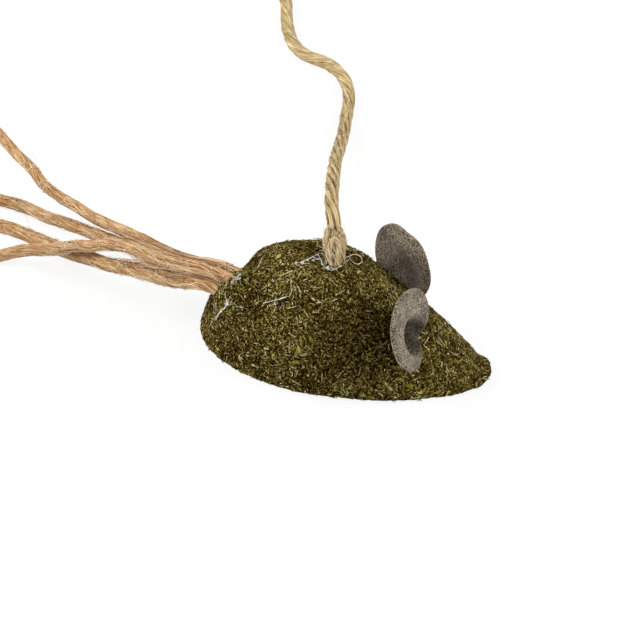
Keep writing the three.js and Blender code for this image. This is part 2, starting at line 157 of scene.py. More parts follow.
def rough(points: Array, scale: float, seed: float) -> Array:
    """Gives smooth noise at points, from about -1 to 1, with bumps of one size."""
    return np.array([noise.noise(Vector(p / scale) + Vector((seed, seed, seed))) for p in points])


def centripetal(points: Array, per_span: int) -> Array:
    """Runs one smooth curve through given points.

    Args:
        points: The points, in order.
        per_span: Samples between two of them.

    Returns:
        The points of the curve.
    """
    padded = np.vstack([2 * points[0] - points[1], points, 2 * points[-1] - points[-2]])
    share = np.linspace(0, 1, per_span, endpoint=False)[:, None]
    spans = []
    for before, start, end, after in zip(padded, padded[1:], padded[2:], padded[3:]):
        step_in, step, step_out = (
            math.sqrt(np.linalg.norm(b - a)) for a, b in ((before, start), (start, end), (end, after))
        )
        straight = (end - start) / step
        leave = step * ((start - before) / step_in - (end - before) / (step_in + step) + straight)
        arrive = step * (straight - (after - start) / (step + step_out) + (after - end) / step_out)
        square = -3 * start + 3 * end - 2 * leave - arrive
        cube = 2 * start - 2 * end + leave + arrive
        spans.append(start + leave * share + square * share**2 + cube * share**3)
    return np.vstack([*spans, points[-1:]])


def length_along(points: Array) -> Array:
    """Measures how far along a line each of its points is."""
    return np.concatenate([[0.0], np.cumsum(np.linalg.norm(np.diff(points, axis=0), axis=1))])


def resample(points: Array, step: float) -> Array:
    """Puts points on a line at even distances.

    Args:
        points: The line's points.
        step: The distance wanted between neighbours.

    Returns:
        The evenly spaced points.
    """
    along = length_along(points)
    spots = np.linspace(0, along[-1], max(2, round(along[-1] / step) + 1))
    return np.stack([np.interp(spots, along, points[:, axis]) for axis in range(3)], axis=1)


def transport(points: Array) -> tuple[Array, Array]:
    """Carries a pair of cross directions along a line without twisting them.

    Args:
        points: The line's points.

    Returns:
        Two directions across the line, for each point.
    """
    tangents = unit(np.gradient(points, axis=0))
    first = np.cross(tangents[0], UP if abs(tangents[0][2]) < 0.9 else np.array([1.0, 0.0, 0.0]))
    sides = [unit(first)]
    for tangent in tangents[1:]:
        sides.append(unit(sides[-1] - tangent * np.dot(sides[-1], tangent)))
    across = np.array(sides)
    return across, np.cross(tangents, across)


def loft(rings: Array) -> Shape:
    """Skins a row of rings and closes both ends.

    Args:
        rings: Rings of points, as rings by points by three.

    Returns:
        The vertices and the faces.
    """
    count, sides = rings.shape[:2]
    verts = np.vstack([rings.reshape(-1, 3), rings[0].mean(axis=0), rings[-1].mean(axis=0)])
    pairs = [(side, (side + 1) % sides) for side in range(sides)]
    last = (count - 1) * sides
    faces: Faces = []
    for base in range(0, last, sides):
        faces += [(base + a, base + b, base + sides + b, base + sides + a) for a, b in pairs]
    for a, b in pairs:
        faces += [(last + sides, b, a), (last + sides + 1, last + a, last + b)]
    return verts, faces


def tube(line: Array, radius: Array, sides: int) -> Shape:
    """Makes a plain closed tube.

    Args:
        line: The points that it follows.
        radius: Its radius at each of them.
        sides: How many sides it has.

    Returns:
        The vertices and the faces.
    """
    across, over = transport(line)
    ring = around(round_angles(sides), across[:, None], over[:, None])
    return loft(line[:, None] + radius[:, None, None] * ring)


def hair(line: Array, radius: float) -> Shape:
    """Makes one fibre along a line, which grows thinner."""
    return tube(line, radius * np.linspace(1, 0.5, len(line)), 3)


def make_object(
    name: str, verts: Array, faces: Faces, material: Material, lay: Array | None = None
) -> Object:
    """Makes a smooth mesh object.

    Args:
        name: The piece's name.
        verts: Its vertices.
        faces: Its faces.
        material: Its finish.
        lay: For a cord, where each vertex lies round and along it, and how deep between its plies.

    Returns:
        The object, linked to the scene.
    """
    mesh = bpy.data.meshes.new(name)
    mesh.from_pydata(verts.tolist(), [], faces)
    mesh.shade_smooth()
    if lay is not None:
        layer = mesh.attributes.new("lay", "FLOAT_VECTOR", "POINT")
        layer.data.foreach_set("vector", np.ascontiguousarray(lay[:, :3], dtype=np.float32).ravel())
        layer = mesh.attributes.new("hollow", "FLOAT", "POINT")
        layer.data.foreach_set("value", np.ascontiguousarray(lay[:, 3], dtype=np.float32))
    mesh.materials.append(material)
    mesh.update()
    made = bpy.data.objects.new(name, mesh)
    bpy.context.scene.collection.objects.link(made)
    return made


class Soup:
    """Collects many small closed shapes into one mesh."""

    def __init__(self) -> None:
        """Starts empty."""
        self.verts: list[Array] = []
        self.faces: Faces = []
        self.lays: list[Array] = []
        self.count = 0

    def add(self, verts: Array, faces: Faces, lay: Array | None = None) -> None:
        """Adds one shape.

        Args:
            verts: Its vertices.
            faces: Its faces.
            lay: Where each vertex lies round and along a cord.
        """
        self.verts.append(verts)
        self.lays.append(np.zeros((len(verts), 4)) if lay is None else lay)
        self.faces.extend(tuple(index + self.count for index in face) for face in faces)
        self.count += len(verts)

    def join(self, other: Soup) -> None:
        """Takes over another soup's shapes."""
        self.add(np.vstack(other.verts), other.faces, np.vstack(other.lays))

    def build(self, name: str, material: Material, with_lay: bool = False) -> Object:
        """Makes the object, with its lay where the material reads that."""
        lay = np.vstack(self.lays) if with_lay else None
        return make_object(name, np.vstack(self.verts), self.faces, material, lay)


def dress(piece: Object, nodes: Sequence[str] = (), body: Body | None = None) -> None:
    """Puts a piece on the body that it rides on, and hides the solids that it stands for.

    Args:
        piece: The piece.
        nodes: The solids that it replaces.
        body: The body that it rides on, if any.
    """
    if body:
        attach(piece, body.value)
    if nodes:
        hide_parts(*nodes)
    LOG.info("%s: %d vertices", piece.name, len(piece.data.vertices))


class Graph:
    """Places and links the nodes of one shader tree."""

    def __init__(self, tree: NodeTree) -> None:
        """Works on one tree."""
        self.tree = tree

    def add(self, kind: str, inputs: dict[str | int, object] | None = None, **settings: object) -> Node:
        """Adds a node.

        Args:
            kind: The node's type.
            inputs: Values or sockets for its inputs, by name or number.
            settings: Its own properties.

        Returns:
            The node.
        """
        node = self.tree.nodes.new(kind)
        for key, value in settings.items():
            setattr(node, key, value)
        for key, value in (inputs or {}).items():
            self.feed(node.inputs[key], value)
        return node

    def feed(self, socket: NodeSocket, value: object) -> None:
        """Sets an input to a value, or links it to a socket.

        Args:
            socket: The input.
            value: A plain value or an output socket.
        """
        if isinstance(value, NodeSocket):
            self.tree.links.new(value, socket)
        else:
            socket.default_value = value

    def math(self, operation: str, *values: object) -> NodeSocket:
        """Adds a sum of values or sockets."""
        return self.add("ShaderNodeMath", dict(enumerate(values)), operation=operation).outputs[0]

    def scaled(self, vector: NodeSocket, scale: Triple) -> NodeSocket:
        """Stretches a vector."""
        return self.add("ShaderNodeMapping", {"Vector": vector, "Scale": scale}).outputs[0]

    def noise(self, vector: NodeSocket, scale: object, detail: float = 2.0, bite: float = 0.5) -> NodeSocket:
        """Adds smooth noise, where detail and bite say how much of it is fine."""
        inputs = {"Vector": vector, "Scale": scale, "Detail": detail, "Roughness": bite}
        return self.add("ShaderNodeTexNoise", inputs).outputs[0]

    def spread(self, value: NodeSocket, start: Pair, end: Pair, kind: str = "LINEAR") -> NodeSocket:
        """Maps one range of values to another.

        Args:
            value: The value.
            start: The range that it comes from.
            end: The range that it goes to.
            kind: How it eases.

        Returns:
            The mapped value.
        """
        inputs = {"Value": value, "From Min": start[0], "From Max": start[1]}
        inputs |= {"To Min": end[0], "To Max": end[1]}
        return self.add("ShaderNodeMapRange", inputs, interpolation_type=kind).outputs[0]

    def ramp(self, factor: NodeSocket, stops: Stops) -> NodeSocket:
        """Turns a value into a colour.

        Args:
            factor: The value.
            stops: Places and colours.

        Returns:
            The colour.
        """
        node = self.add("ShaderNodeValToRGB", {"Fac": factor})
        elements = node.color_ramp.elements
        while len(elements) < len(stops):
            elements.new(1.0)
        for element, (place, colour) in zip(elements, stops):
            element.position = place
            element.color = colour
        return node.outputs["Color"]

    def mix(self, factor: object, first: object, second: object, blend: str = "MIX") -> NodeSocket:
        """Mixes two colours by a share of the second."""
        inputs = {0: factor, 6: first, 7: second}
        return self.add("ShaderNodeMix", inputs, data_type="RGBA", blend_type=blend).outputs[2]

    def tint(self, colour: object, by: object) -> NodeSocket:
        """Multiplies two colours."""
        return self.mix(1.0, colour, by, "MULTIPLY")


class Effects:
    """The shared effects, each a node group that is built once."""

    def __init__(self) -> None:
        """Builds the groups."""
        self.speckle = self._speckle()
        self.fibre = self._fibre()
        self.shade_patch = self._shade_patch()

    @staticmethod
    def _group(
        name: str, vectors: Sequence[str], values: Sequence[str], outputs: Sequence[str]
    ) -> tuple[Graph, bpy.types.NodeOutputs, bpy.types.NodeInputs]:
        """Makes an empty group.

        Args:
            name: Its name.
            vectors: Names of its vector inputs.
            values: Names of its plain inputs.
            outputs: Names of the values that it puts out.

        Returns:
            A graph on the group, what it is given and what it puts out.
        """
        tree = bpy.data.node_groups.new(name, "ShaderNodeTree")
        sockets = [(label, "INPUT", "NodeSocketVector") for label in vectors]
        sockets += [(label, "INPUT", "NodeSocketFloat") for label in values]
        sockets += [(label, "OUTPUT", "NodeSocketFloat") for label in outputs]
        for label, way, kind in sockets:
            tree.interface.new_socket(label, in_out=way, socket_type=kind)
        graph = Graph(tree)
        return graph, graph.add("NodeGroupInput").outputs, graph.add("NodeGroupOutput").inputs

    def _speckle(self) -> NodeTree:
        """Builds fine crumbs over broad patches.

        Returns:
            The group.
        """
        graph, given, out = self._group("speckle", ["Vector"], ["Crumb", "Patch"], ["Crumbs", "Patches"])
        fine = graph.noise(given["Vector"], given["Crumb"], 3.0, 0.7)
        cells = graph.add("ShaderNodeTexVoronoi", {"Vector": given["Vector"], "Scale": given["Crumb"]})
        dots = graph.add("ShaderNodeSeparateColor", {"Color": cells.outputs["Color"]}).outputs[0]
        both = graph.math("ADD", graph.math("MULTIPLY", fine, 0.6), graph.math("MULTIPLY", dots, 0.4))
        graph.feed(out["Crumbs"], both)
        graph.feed(out["Patches"], graph.noise(given["Vector"], given["Patch"]))
        return graph.tree

    def _fibre(self) -> NodeTree:
        """Builds long fibres that run along a cord, and painted shade for the grooves between its plies.

        Returns:
            The group.
        """
        graph, given, out = self._group(
            "fibre", ["Lay"], ["Hollow", "Fineness", "Length"], ["Fibres", "Patches", "GrooveShade"]
        )
        parts = graph.add("ShaderNodeSeparateXYZ", {"Vector": given["Lay"]}).outputs
        drawn = {
            "X": graph.math("MULTIPLY", parts[0], given["Fineness"]),
            "Y": graph.math("MULTIPLY", parts[1], given["Fineness"]),
            "Z": graph.math("DIVIDE", parts[2], given["Length"]),
        }
        streaks = graph.noise(graph.add("ShaderNodeCombineXYZ", drawn).outputs[0], 1.0, 4.0, 0.75)
        broad = graph.noise(given["Lay"], 420.0)
        # Painted shade for the grooves between plies: stronger where the surface lies deeper, weaker in broad
        # patches along the cord.
        groove = graph.spread(given["Hollow"], (0.02, 0.14), (0.0, 1.0), "SMOOTHSTEP")
        kept = graph.spread(broad, (0.36, 0.54), (0.3, 1.0))
        graph.feed(out["Fibres"], streaks)
        graph.feed(out["Patches"], broad)
        graph.feed(out["GrooveShade"], graph.math("MULTIPLY", groove, kept))
        return graph.tree

    def _shade_patch(self) -> NodeTree:
        """Builds the mask of a soft ragged patch of painted shade round one place.

        Returns:
            The group.
        """
        graph, given, out = self._group("shade_patch", ["Vector", "Centre"], ["Radius"], ["Mask"])
        ends = {0: given["Vector"], 1: given["Centre"]}
        away = graph.add("ShaderNodeVectorMath", ends, operation="DISTANCE").outputs["Value"]
        wander = graph.math("SUBTRACT", graph.noise(given["Vector"], 320.0), 0.5)
        ragged = graph.math("MULTIPLY", wander, 0.5)
        share = graph.math("ADD", graph.math("DIVIDE", away, given["Radius"]), ragged)
        graph.feed(out["Mask"], graph.spread(share, (0.35, 1.0), (1.0, 0.0), "SMOOTHSTEP"))
        return graph.tree


class Coat(Graph):
    """One material's graph, with its shader and the shared effects at hand."""

    def __init__(self, name: str, effects: Effects | None = None) -> None:
        """Starts a material.

        Args:
            name: Its name.
            effects: The shared effects.
        """
        self.material = bpy.data.materials.new(name)
        self.material.use_nodes = True
        super().__init__(self.material.node_tree)
        self.shader = self.tree.nodes["Principled BSDF"]
        self.effects = effects

    def spot(self) -> NodeSocket:
        """Gives the place on the piece."""
        return self.add("ShaderNodeTexCoord").outputs["Object"]

    def chance(self) -> NodeSocket:
        """Gives each loose bit a value of its own."""
        return self.add("ShaderNodeNewGeometry").outputs["Random Per Island"]

    def group(self, tree: NodeTree, **inputs: object) -> bpy.types.NodeOutputs:
        """Places a shared effect and gives what it puts out."""
        return self.add("ShaderNodeGroup", inputs, node_tree=tree).outputs

    def speckle(self, spot: NodeSocket, crumb: float, patch: float) -> bpy.types.NodeOutputs:
        """Places fine crumbs over broad patches."""
        return self.group(self.effects.speckle, Vector=spot, Crumb=crumb, Patch=patch)

    def show(self, colour: NodeSocket) -> None:
        """Gives the surface its colour."""
        self.feed(self.shader.inputs["Base Color"], colour)

    def fix(self, values: dict[str, object]) -> None:
        """Sets the shader's own sockets to plain values."""
        for key, value in values.items():
            self.shader.inputs[key].default_value = value

    def bump(self, height: NodeSocket, strength: float, depth: float) -> None:
        """Roughens the surface by a height of some depth in metres."""
        inputs = {"Height": height, "Strength": strength, "Distance": depth}
        self.feed(self.shader.inputs["Normal"], self.add("ShaderNodeBump", inputs).outputs[0])


@dataclass(frozen=True)
class PaintedShade:
    """A patch of painted shade on a finish."""

    centre: Triple
    radius: float
    tint: Colour

    def over(self, coat: Coat, spot: NodeSocket, colour: NodeSocket) -> NodeSocket:
        """Lays the painted shade over a colour."""
        mask = coat.group(coat.effects.shade_patch, Vector=spot, Centre=self.centre, Radius=self.radius)["Mask"]
        return coat.mix(mask, colour, coat.tint(colour, self.tint))


# Patches of painted shade: on the mouse's right side behind the right ear, where that ear's shadow falls; on
# the lower middle of the left ear; and in the pocket of the right ear.
MOUSE_SHADE = PaintedShade(mm(4, -11.5, 13), 13 * MM, srgb(190, 182, 170))
LEFT_EAR_SHADE = PaintedShade(mm(12.8, 6.4, 18.0), 8.0 * MM, srgb(182, 176, 166))
RIGHT_EAR_POCKET_SHADE = PaintedShade(mm(14.1, -7.4, 13.2), 5.5 * MM, srgb(124, 119, 110))


@dataclass(frozen=True)
class Finish(ABC):
    """How one material looks."""

    name: str

    def build(self, effects: Effects) -> Material:
        """Makes the material.

        Args:
            effects: The shared effects.

        Returns:
            The material.
        """
        coat = Coat(self.name, effects)
        self.paint(coat)
        return coat.material

    @abstractmethod
    def paint(self, coat: Coat) -> None:
        """Wires the material's own nodes.

        Args:
            coat: The material's graph.
        """


@dataclass(frozen=True)
class CatnipFinish(Finish):
    """Crumbled dried leaf, pressed together."""

    crumb: float = 3300.0
    patch: float = 120.0
    stops: Stops = (
        (0.30, srgb(12, 8, 0)),
        (0.46, srgb(50, 39, 9)),
        (0.60, srgb(98, 83, 34)),
        (0.72, srgb(166, 150, 90)),
    )
    shade: Colour = srgb(176, 164, 144)

    def paint(self, coat: Coat) -> None:
        """Wires crumbs of many browns and greens, under the mouse's painted shade.

        Args:
            coat: The material's graph.
        """
        spot = coat.spot()
        grain = coat.speckle(spot, self.crumb, self.patch)
        patches = coat.ramp(grain["Patches"], ((0.35, self.shade), (0.6, WHITE)))
        colour = coat.tint(coat.ramp(grain["Crumbs"], self.stops), patches)
        # Painted shade darkens the right side behind the right ear.
        coat.show(MOUSE_SHADE.over(coat, spot, colour))
        coat.fix({"Roughness": 0.95, "Specular IOR Level": 0.02})
        coat.bump(grain["Crumbs"], 0.7, 0.3 * MM)


@dataclass(frozen=True)
class FlakeFinish(Finish):
    """Loose flakes, each of its own colour."""

    stops: Stops
    crumb: float = 3000.0
    patch: float = 150.0
    grain: Stops = ((0.3, srgb(190, 190, 190)), (0.7, WHITE))

    def paint(self, coat: Coat) -> None:
        """Wires one colour to each flake, with a little grain and the mouse's painted shade.

        Args:
            coat: The material's graph.
        """
        spot = coat.spot()
        light = coat.ramp(coat.speckle(spot, self.crumb, self.patch)["Crumbs"], self.grain)
        colour = coat.tint(coat.ramp(coat.chance(), self.stops), light)
        # Painted shade darkens the flakes on the right side behind the right ear.
        coat.show(MOUSE_SHADE.over(coat, spot, colour))
        coat.fix({"Roughness": 0.8, "Specular IOR Level": 0.03})


@dataclass(frozen=True)
class FeltFinish(Finish):
    """Grey-brown felt, with a patch of painted shade."""

    painted_shade: PaintedShade
    crumb: float = 5600.0
    patch: float = 260.0
    stops: Stops = ((0.32, srgb(38, 31, 20)), (0.50, srgb(102, 91, 75)), (0.68, srgb(186, 172, 148)))
    worn: Colour = srgb(206, 203, 200)

    def paint(self, coat: Coat) -> None:
        """Wires matted fibres of a few greys, under a patch of painted shade.

        Args:
            coat: The material's graph.
        """
        spot = coat.spot()
        grain = coat.speckle(spot, self.crumb, self.patch)
        patches = coat.ramp(grain["Patches"], ((0.34, self.worn), (0.6, WHITE)))
        colour = coat.tint(coat.ramp(grain["Crumbs"], self.stops), patches)
        # Painted shade darkens the felt round one place.
        coat.show(self.painted_shade.over(coat, spot, colour))
        coat.fix({"Roughness": 1.0, "Specular IOR Level": 0.1, "Sheen Weight": 0.12, "Sheen Roughness": 0.6})
        coat.bump(grain["Crumbs"], 0.3, 0.15 * MM)


@dataclass(frozen=True)
class JuteFinish(Finish):
    """Bundled plant fibres."""

    dark: Colour = srgb(84, 58, 22)
    middle: Colour = srgb(186, 162, 114)
    pale: Colour = srgb(242, 225, 184)
    worn: Colour = srgb(226, 222, 214)
    # How far the painted shade darkens the grooves between plies.
    groove_shade: float = 0.9
    fineness: float = 4600.0
    fibre_length: float = 5 * MM

    def paint(self, coat: Coat) -> None:
        """Wires streaks along the cord's lay, with painted shade in the grooves between plies.

        Args:
            coat: The material's graph.
        """
        lay = coat.add("ShaderNodeAttribute", attribute_name="lay").outputs["Vector"]
        hollow = coat.add("ShaderNodeAttribute", attribute_name="hollow").outputs["Fac"]
        sizes = {"Fineness": self.fineness, "Length": self.fibre_length}
        fibre = coat.group(coat.effects.fibre, Lay=lay, Hollow=hollow, **sizes)
        colour = coat.ramp(fibre["Fibres"], ((0.30, self.dark), (0.48, self.middle), (0.66, self.pale)))
        # Painted shade: the grooves between plies are darkened towards the dark colour.
        colour = coat.mix(coat.math("MULTIPLY", fibre["GrooveShade"], self.groove_shade), colour, self.dark)
        patches = coat.ramp(fibre["Patches"], ((0.36, self.worn), (0.6, WHITE)))
        coat.show(coat.tint(colour, patches))
        coat.fix({"Roughness": 0.75, "Specular IOR Level": 0.1})
        coat.bump(fibre["Fibres"], 0.8, 0.25 * MM)


@dataclass(frozen=True)
class HairFinish(Finish):
    """Single stray fibres."""

    stops: Stops = ((0.0, srgb(196, 168, 120)), (1.0, srgb(240, 226, 196)))

    def paint(self, coat: Coat) -> None:
        """Wires one colour to each fibre."""
        coat.show(coat.ramp(coat.chance(), self.stops))
        coat.fix({"Roughness": 0.6, "Specular IOR Level": 0.3})


@dataclass(frozen=True)
class GlueFinish(Finish):
    """Cloudy strings and films of glue."""

    opacity: Pair
    crumb: float = 1800.0
    patch: float = 900.0
    clear: Colour = srgb(164, 156, 136)
    cloudy: Colour = srgb(236, 234, 228)
    satin: Stops = ((0.3, srgb(90, 90, 90)), (0.7, srgb(150, 150, 150)))

    def paint(self, coat: Coat) -> None:
        """Wires cloudy and clearer patches.

        Args:
            coat: The material's graph.
        """
        grain = coat.speckle(coat.spot(), self.crumb, self.patch)
        coat.show(coat.ramp(grain["Patches"], ((0.35, self.clear), (0.6, self.cloudy))))
        coat.feed(coat.shader.inputs["Roughness"], coat.ramp(grain["Crumbs"], self.satin))
        low, high = ((share, share, share, 1.0) for share in self.opacity)
        coat.feed(coat.shader.inputs["Alpha"], coat.ramp(grain["Crumbs"], ((0.36, low), (0.62, high))))
        coat.fix({"Specular IOR Level": 0.5})


@dataclass(frozen=True)
class WoodFinish(Finish):
    """Plain sanded wood with its grain along the stick."""

    pale: Colour = srgb(224, 196, 150)
    grain: Colour = srgb(196, 160, 112)
    pore: Colour = srgb(150, 112, 72)
    fine: Stops = ((0.3, srgb(222, 214, 204)), (0.62, WHITE))

    def paint(self, coat: Coat) -> None:
        """Wires long grain and short dark pores.

        Args:
            coat: The material's graph.
        """
        spot = coat.spot()
        grain = coat.speckle(coat.scaled(spot, (0.035, 1.0, 1.0)), 900.0, 220.0)
        pores = coat.noise(coat.scaled(spot, (0.09, 1.0, 1.0)), 3600.0)
        colour = coat.ramp(grain["Patches"], ((0.36, self.grain), (0.58, self.pale)))
        colour = coat.tint(colour, coat.ramp(grain["Crumbs"], self.fine))
        coat.show(coat.mix(coat.ramp(pores, ((0.30, WHITE), (0.36, BLACK))), colour, self.pore))
        coat.fix({"Roughness": 0.62, "Specular IOR Level": 0.35})
        coat.bump(grain["Crumbs"], 0.25, 0.15 * MM)


LEAF_STOPS: Stops = (
    (0.00, srgb(6, 3, 0)),
    (0.36, srgb(31, 22, 0)),
    (0.56, srgb(74, 62, 16)),
    (0.76, srgb(132, 118, 52)),
    (0.89, srgb(204, 190, 124)),
    (1.00, srgb(250, 240, 196)),
)
BRIGHT_LEAF_STOPS: Stops = (
    (0.00, srgb(106, 96, 32)),
    (0.50, srgb(136, 126, 48)),
    (0.85, srgb(166, 158, 76)),
    (1.00, srgb(196, 189, 120)),
)
STRAW_STOPS: Stops = ((0.00, srgb(134, 119, 58)), (0.60, srgb(180, 166, 104)), (1.00, srgb(226, 216, 168)))
TAIL_FIBRE_STOPS: Stops = (
    (0.00, srgb(104, 64, 32)),
    (0.35, srgb(178, 135, 90)),
    (0.75, srgb(216, 180, 136)),
    (1.00, srgb(246, 225, 190)),
)
CORD_FIBRE_STOPS: Stops = (
    (0.00, srgb(104, 78, 38)),
    (0.35, srgb(160, 134, 87)),
    (0.75, srgb(198, 174, 127)),
    (1.00, srgb(236, 218, 180)),
)
TAIL_JUTE = JuteFinish(
    "jute_strand",
    dark=srgb(82, 46, 18),
    middle=srgb(182, 141, 94),
    pale=srgb(242, 216, 176),
    worn=srgb(222, 202, 178),
    groove_shade=0.85,
    fineness=4200.0,
)


class Palette:
    """Every finish of the toy, built once."""

    def __init__(self) -> None:
        """Builds the finishes."""
        effects = Effects()
        self.catnip = CatnipFinish("pressed_catnip").build(effects)
        self.leaf = FlakeFinish("catnip_leaf", LEAF_STOPS).build(effects)
        self.bright_leaf = FlakeFinish("bright_leaf", BRIGHT_LEAF_STOPS).build(effects)
        self.straw = FlakeFinish("catnip_stem", STRAW_STOPS).build(effects)
        # The two felts differ only in where their painted shade lies.
        self.left_felt = FeltFinish("left_felt", LEFT_EAR_SHADE).build(effects)
        self.right_felt = FeltFinish("right_felt", RIGHT_EAR_POCKET_SHADE).build(effects)
        self.cord = JuteFinish("jute_twine").build(effects)
        self.knot = JuteFinish("knotted_twine", dark=srgb(100, 74, 38), groove_shade=0.8).build(effects)
        self.tail = TAIL_JUTE.build(effects)
        self.cord_fibre = HairFinish("twine_fibre", CORD_FIBRE_STOPS).build(effects)
        self.tail_fibre = HairFinish("strand_fibre", TAIL_FIBRE_STOPS).build(effects)
        self.hair = HairFinish("jute_hair").build(effects)
        self.glue = GlueFinish("cloudy_glue", (0.4, 1.0)).build(effects)
        self.glue_film = GlueFinish("glue_film", (0.02, 0.4)).build(effects)
        self.wood = WoodFinish("sanded_wood").build(effects)


@dataclass(frozen=True)
class PhotoCamera:
    """The camera, at the photograph's viewing angle."""

    distance: float = 560 * MM
    elevation: float = math.radians(38.4)
    azimuth: float = math.radians(4.6)
    roll: float = math.radians(7.8)
    aim: Triple = mm(0, 0.72, 0)
    lens: float = 149.6
    sensor: float = 36.0
    shift: Pair = (-0.0402, 0.0453)
    nearest: float = 10 * MM

    def build(self) -> None:
        """Makes the camera and gives it to the scene."""
        flat = math.cos(self.elevation)
        sine, cosine = math.sin(self.azimuth), math.cos(self.azimuth)
        back = Vector((sine * flat, -cosine * flat, math.sin(self.elevation)))
        level = Vector((cosine, sine, 0))
        right = level * math.cos(self.roll) + back.cross(level) * math.sin(self.roll)
        turn = Matrix((right, back.cross(right), back)).transposed().to_4x4()
        data = bpy.data.cameras.new("photo_camera")
        data.lens = self.lens
        data.sensor_width = self.sensor
        data.shift_x, data.shift_y = self.shift
        data.clip_start = self.nearest
        camera = bpy.data.objects.new("photo_camera", data)
        camera.matrix_world = Matrix.Translation(Vector(self.aim) + back * self.distance) @ turn
        bpy.context.scene.collection.objects.link(camera)
        bpy.context.scene.camera = camera


@dataclass(frozen=True)
class SoftLamp:
    """One large studio lamp, pointed at the toy."""

    name: str
    place: Triple
    size: float
    power: float

    def build(self) -> None:
        """Makes the lamp."""
        data = bpy.data.lights.new(self.name, "AREA")
        data.size = self.size
        data.energy = self.power
        lamp = bpy.data.objects.new(self.name, data)
        lamp.location = self.place
        lamp.rotation_euler = (-Vector(self.place)).to_track_quat("-Z", "Y").to_euler()
        bpy.context.scene.collection.objects.link(lamp)


@dataclass(frozen=True)
class Studio:
    """A white floor and soft light."""

    floor_half: float = 2.5
    floor_drop: float = 0.05 * MM
    floor_colour: Colour = srgb(240, 240, 240)
    floor_roughness: float = 0.9
    floor_glow: float = 0.88
    sky_strength: float = 0.5
    lamps: tuple[SoftLamp, ...] = (
        SoftLamp("key_lamp", (0.54, 0.08, 0.51), 0.28, 3.2),
        SoftLamp("rear_lamp", (-0.60, -0.08, 0.56), 0.5, 6.0),
        SoftLamp("front_lamp", (0.10, -0.62, 0.50), 0.6, 0.5),
    )

    def build(self) -> None:
        """Makes the floor, the sky and the lamps."""
        bpy.context.scene.view_settings.view_transform = "Standard"
        self._sky()
        self._floor()
        for lamp in self.lamps:
            lamp.build()

    @staticmethod
    def _seen(graph: Graph) -> NodeSocket:
        """Tells the rays that show the background: camera, glossy and transmission rays.

        Args:
            graph: The tree to work in.

        Returns:
            One for those rays.
        """
        path = graph.add("ShaderNodeLightPath").outputs
        mirror = graph.math("MAXIMUM", path["Is Glossy Ray"], path["Is Transmission Ray"])
        return graph.math("MAXIMUM", path["Is Camera Ray"], mirror)

    def _sky(self) -> None:
        """Makes a sky that is white to the eye and a plain light to the toy."""
        world = bpy.data.worlds.new("studio")
        bpy.context.scene.world = world
        world.use_nodes = True
        graph = Graph(world.node_tree)
        background = world.node_tree.nodes["Background"]
        background.inputs["Color"].default_value = WHITE
        spare = graph.math("MULTIPLY", self._seen(graph), 1 - self.sky_strength)
        graph.feed(background.inputs["Strength"], graph.math("ADD", spare, self.sky_strength))

    def _floor(self) -> None:
        """Makes the floor."""
        half = self.floor_half
        corners = np.array([(-half, -half), (half, -half), (half, half), (-half, half)])
        verts = np.column_stack([corners, np.full(4, -self.floor_drop)])
        coat = Coat("studio_floor")
        coat.fix({"Base Color": self.floor_colour, "Roughness": self.floor_roughness})
        glow = coat.add("ShaderNodeEmission", {"Color": WHITE, "Strength": 1.0})
        share = coat.math("MULTIPLY", self._seen(coat), self.floor_glow)
        mixed = coat.add("ShaderNodeMixShader", {0: share, 1: coat.shader.outputs[0], 2: glow.outputs[0]})
        coat.feed(coat.tree.nodes["Material Output"].inputs["Surface"], mixed.outputs[0])
        make_object("studio_floor", verts, [(0, 1, 2, 3)], coat.material)


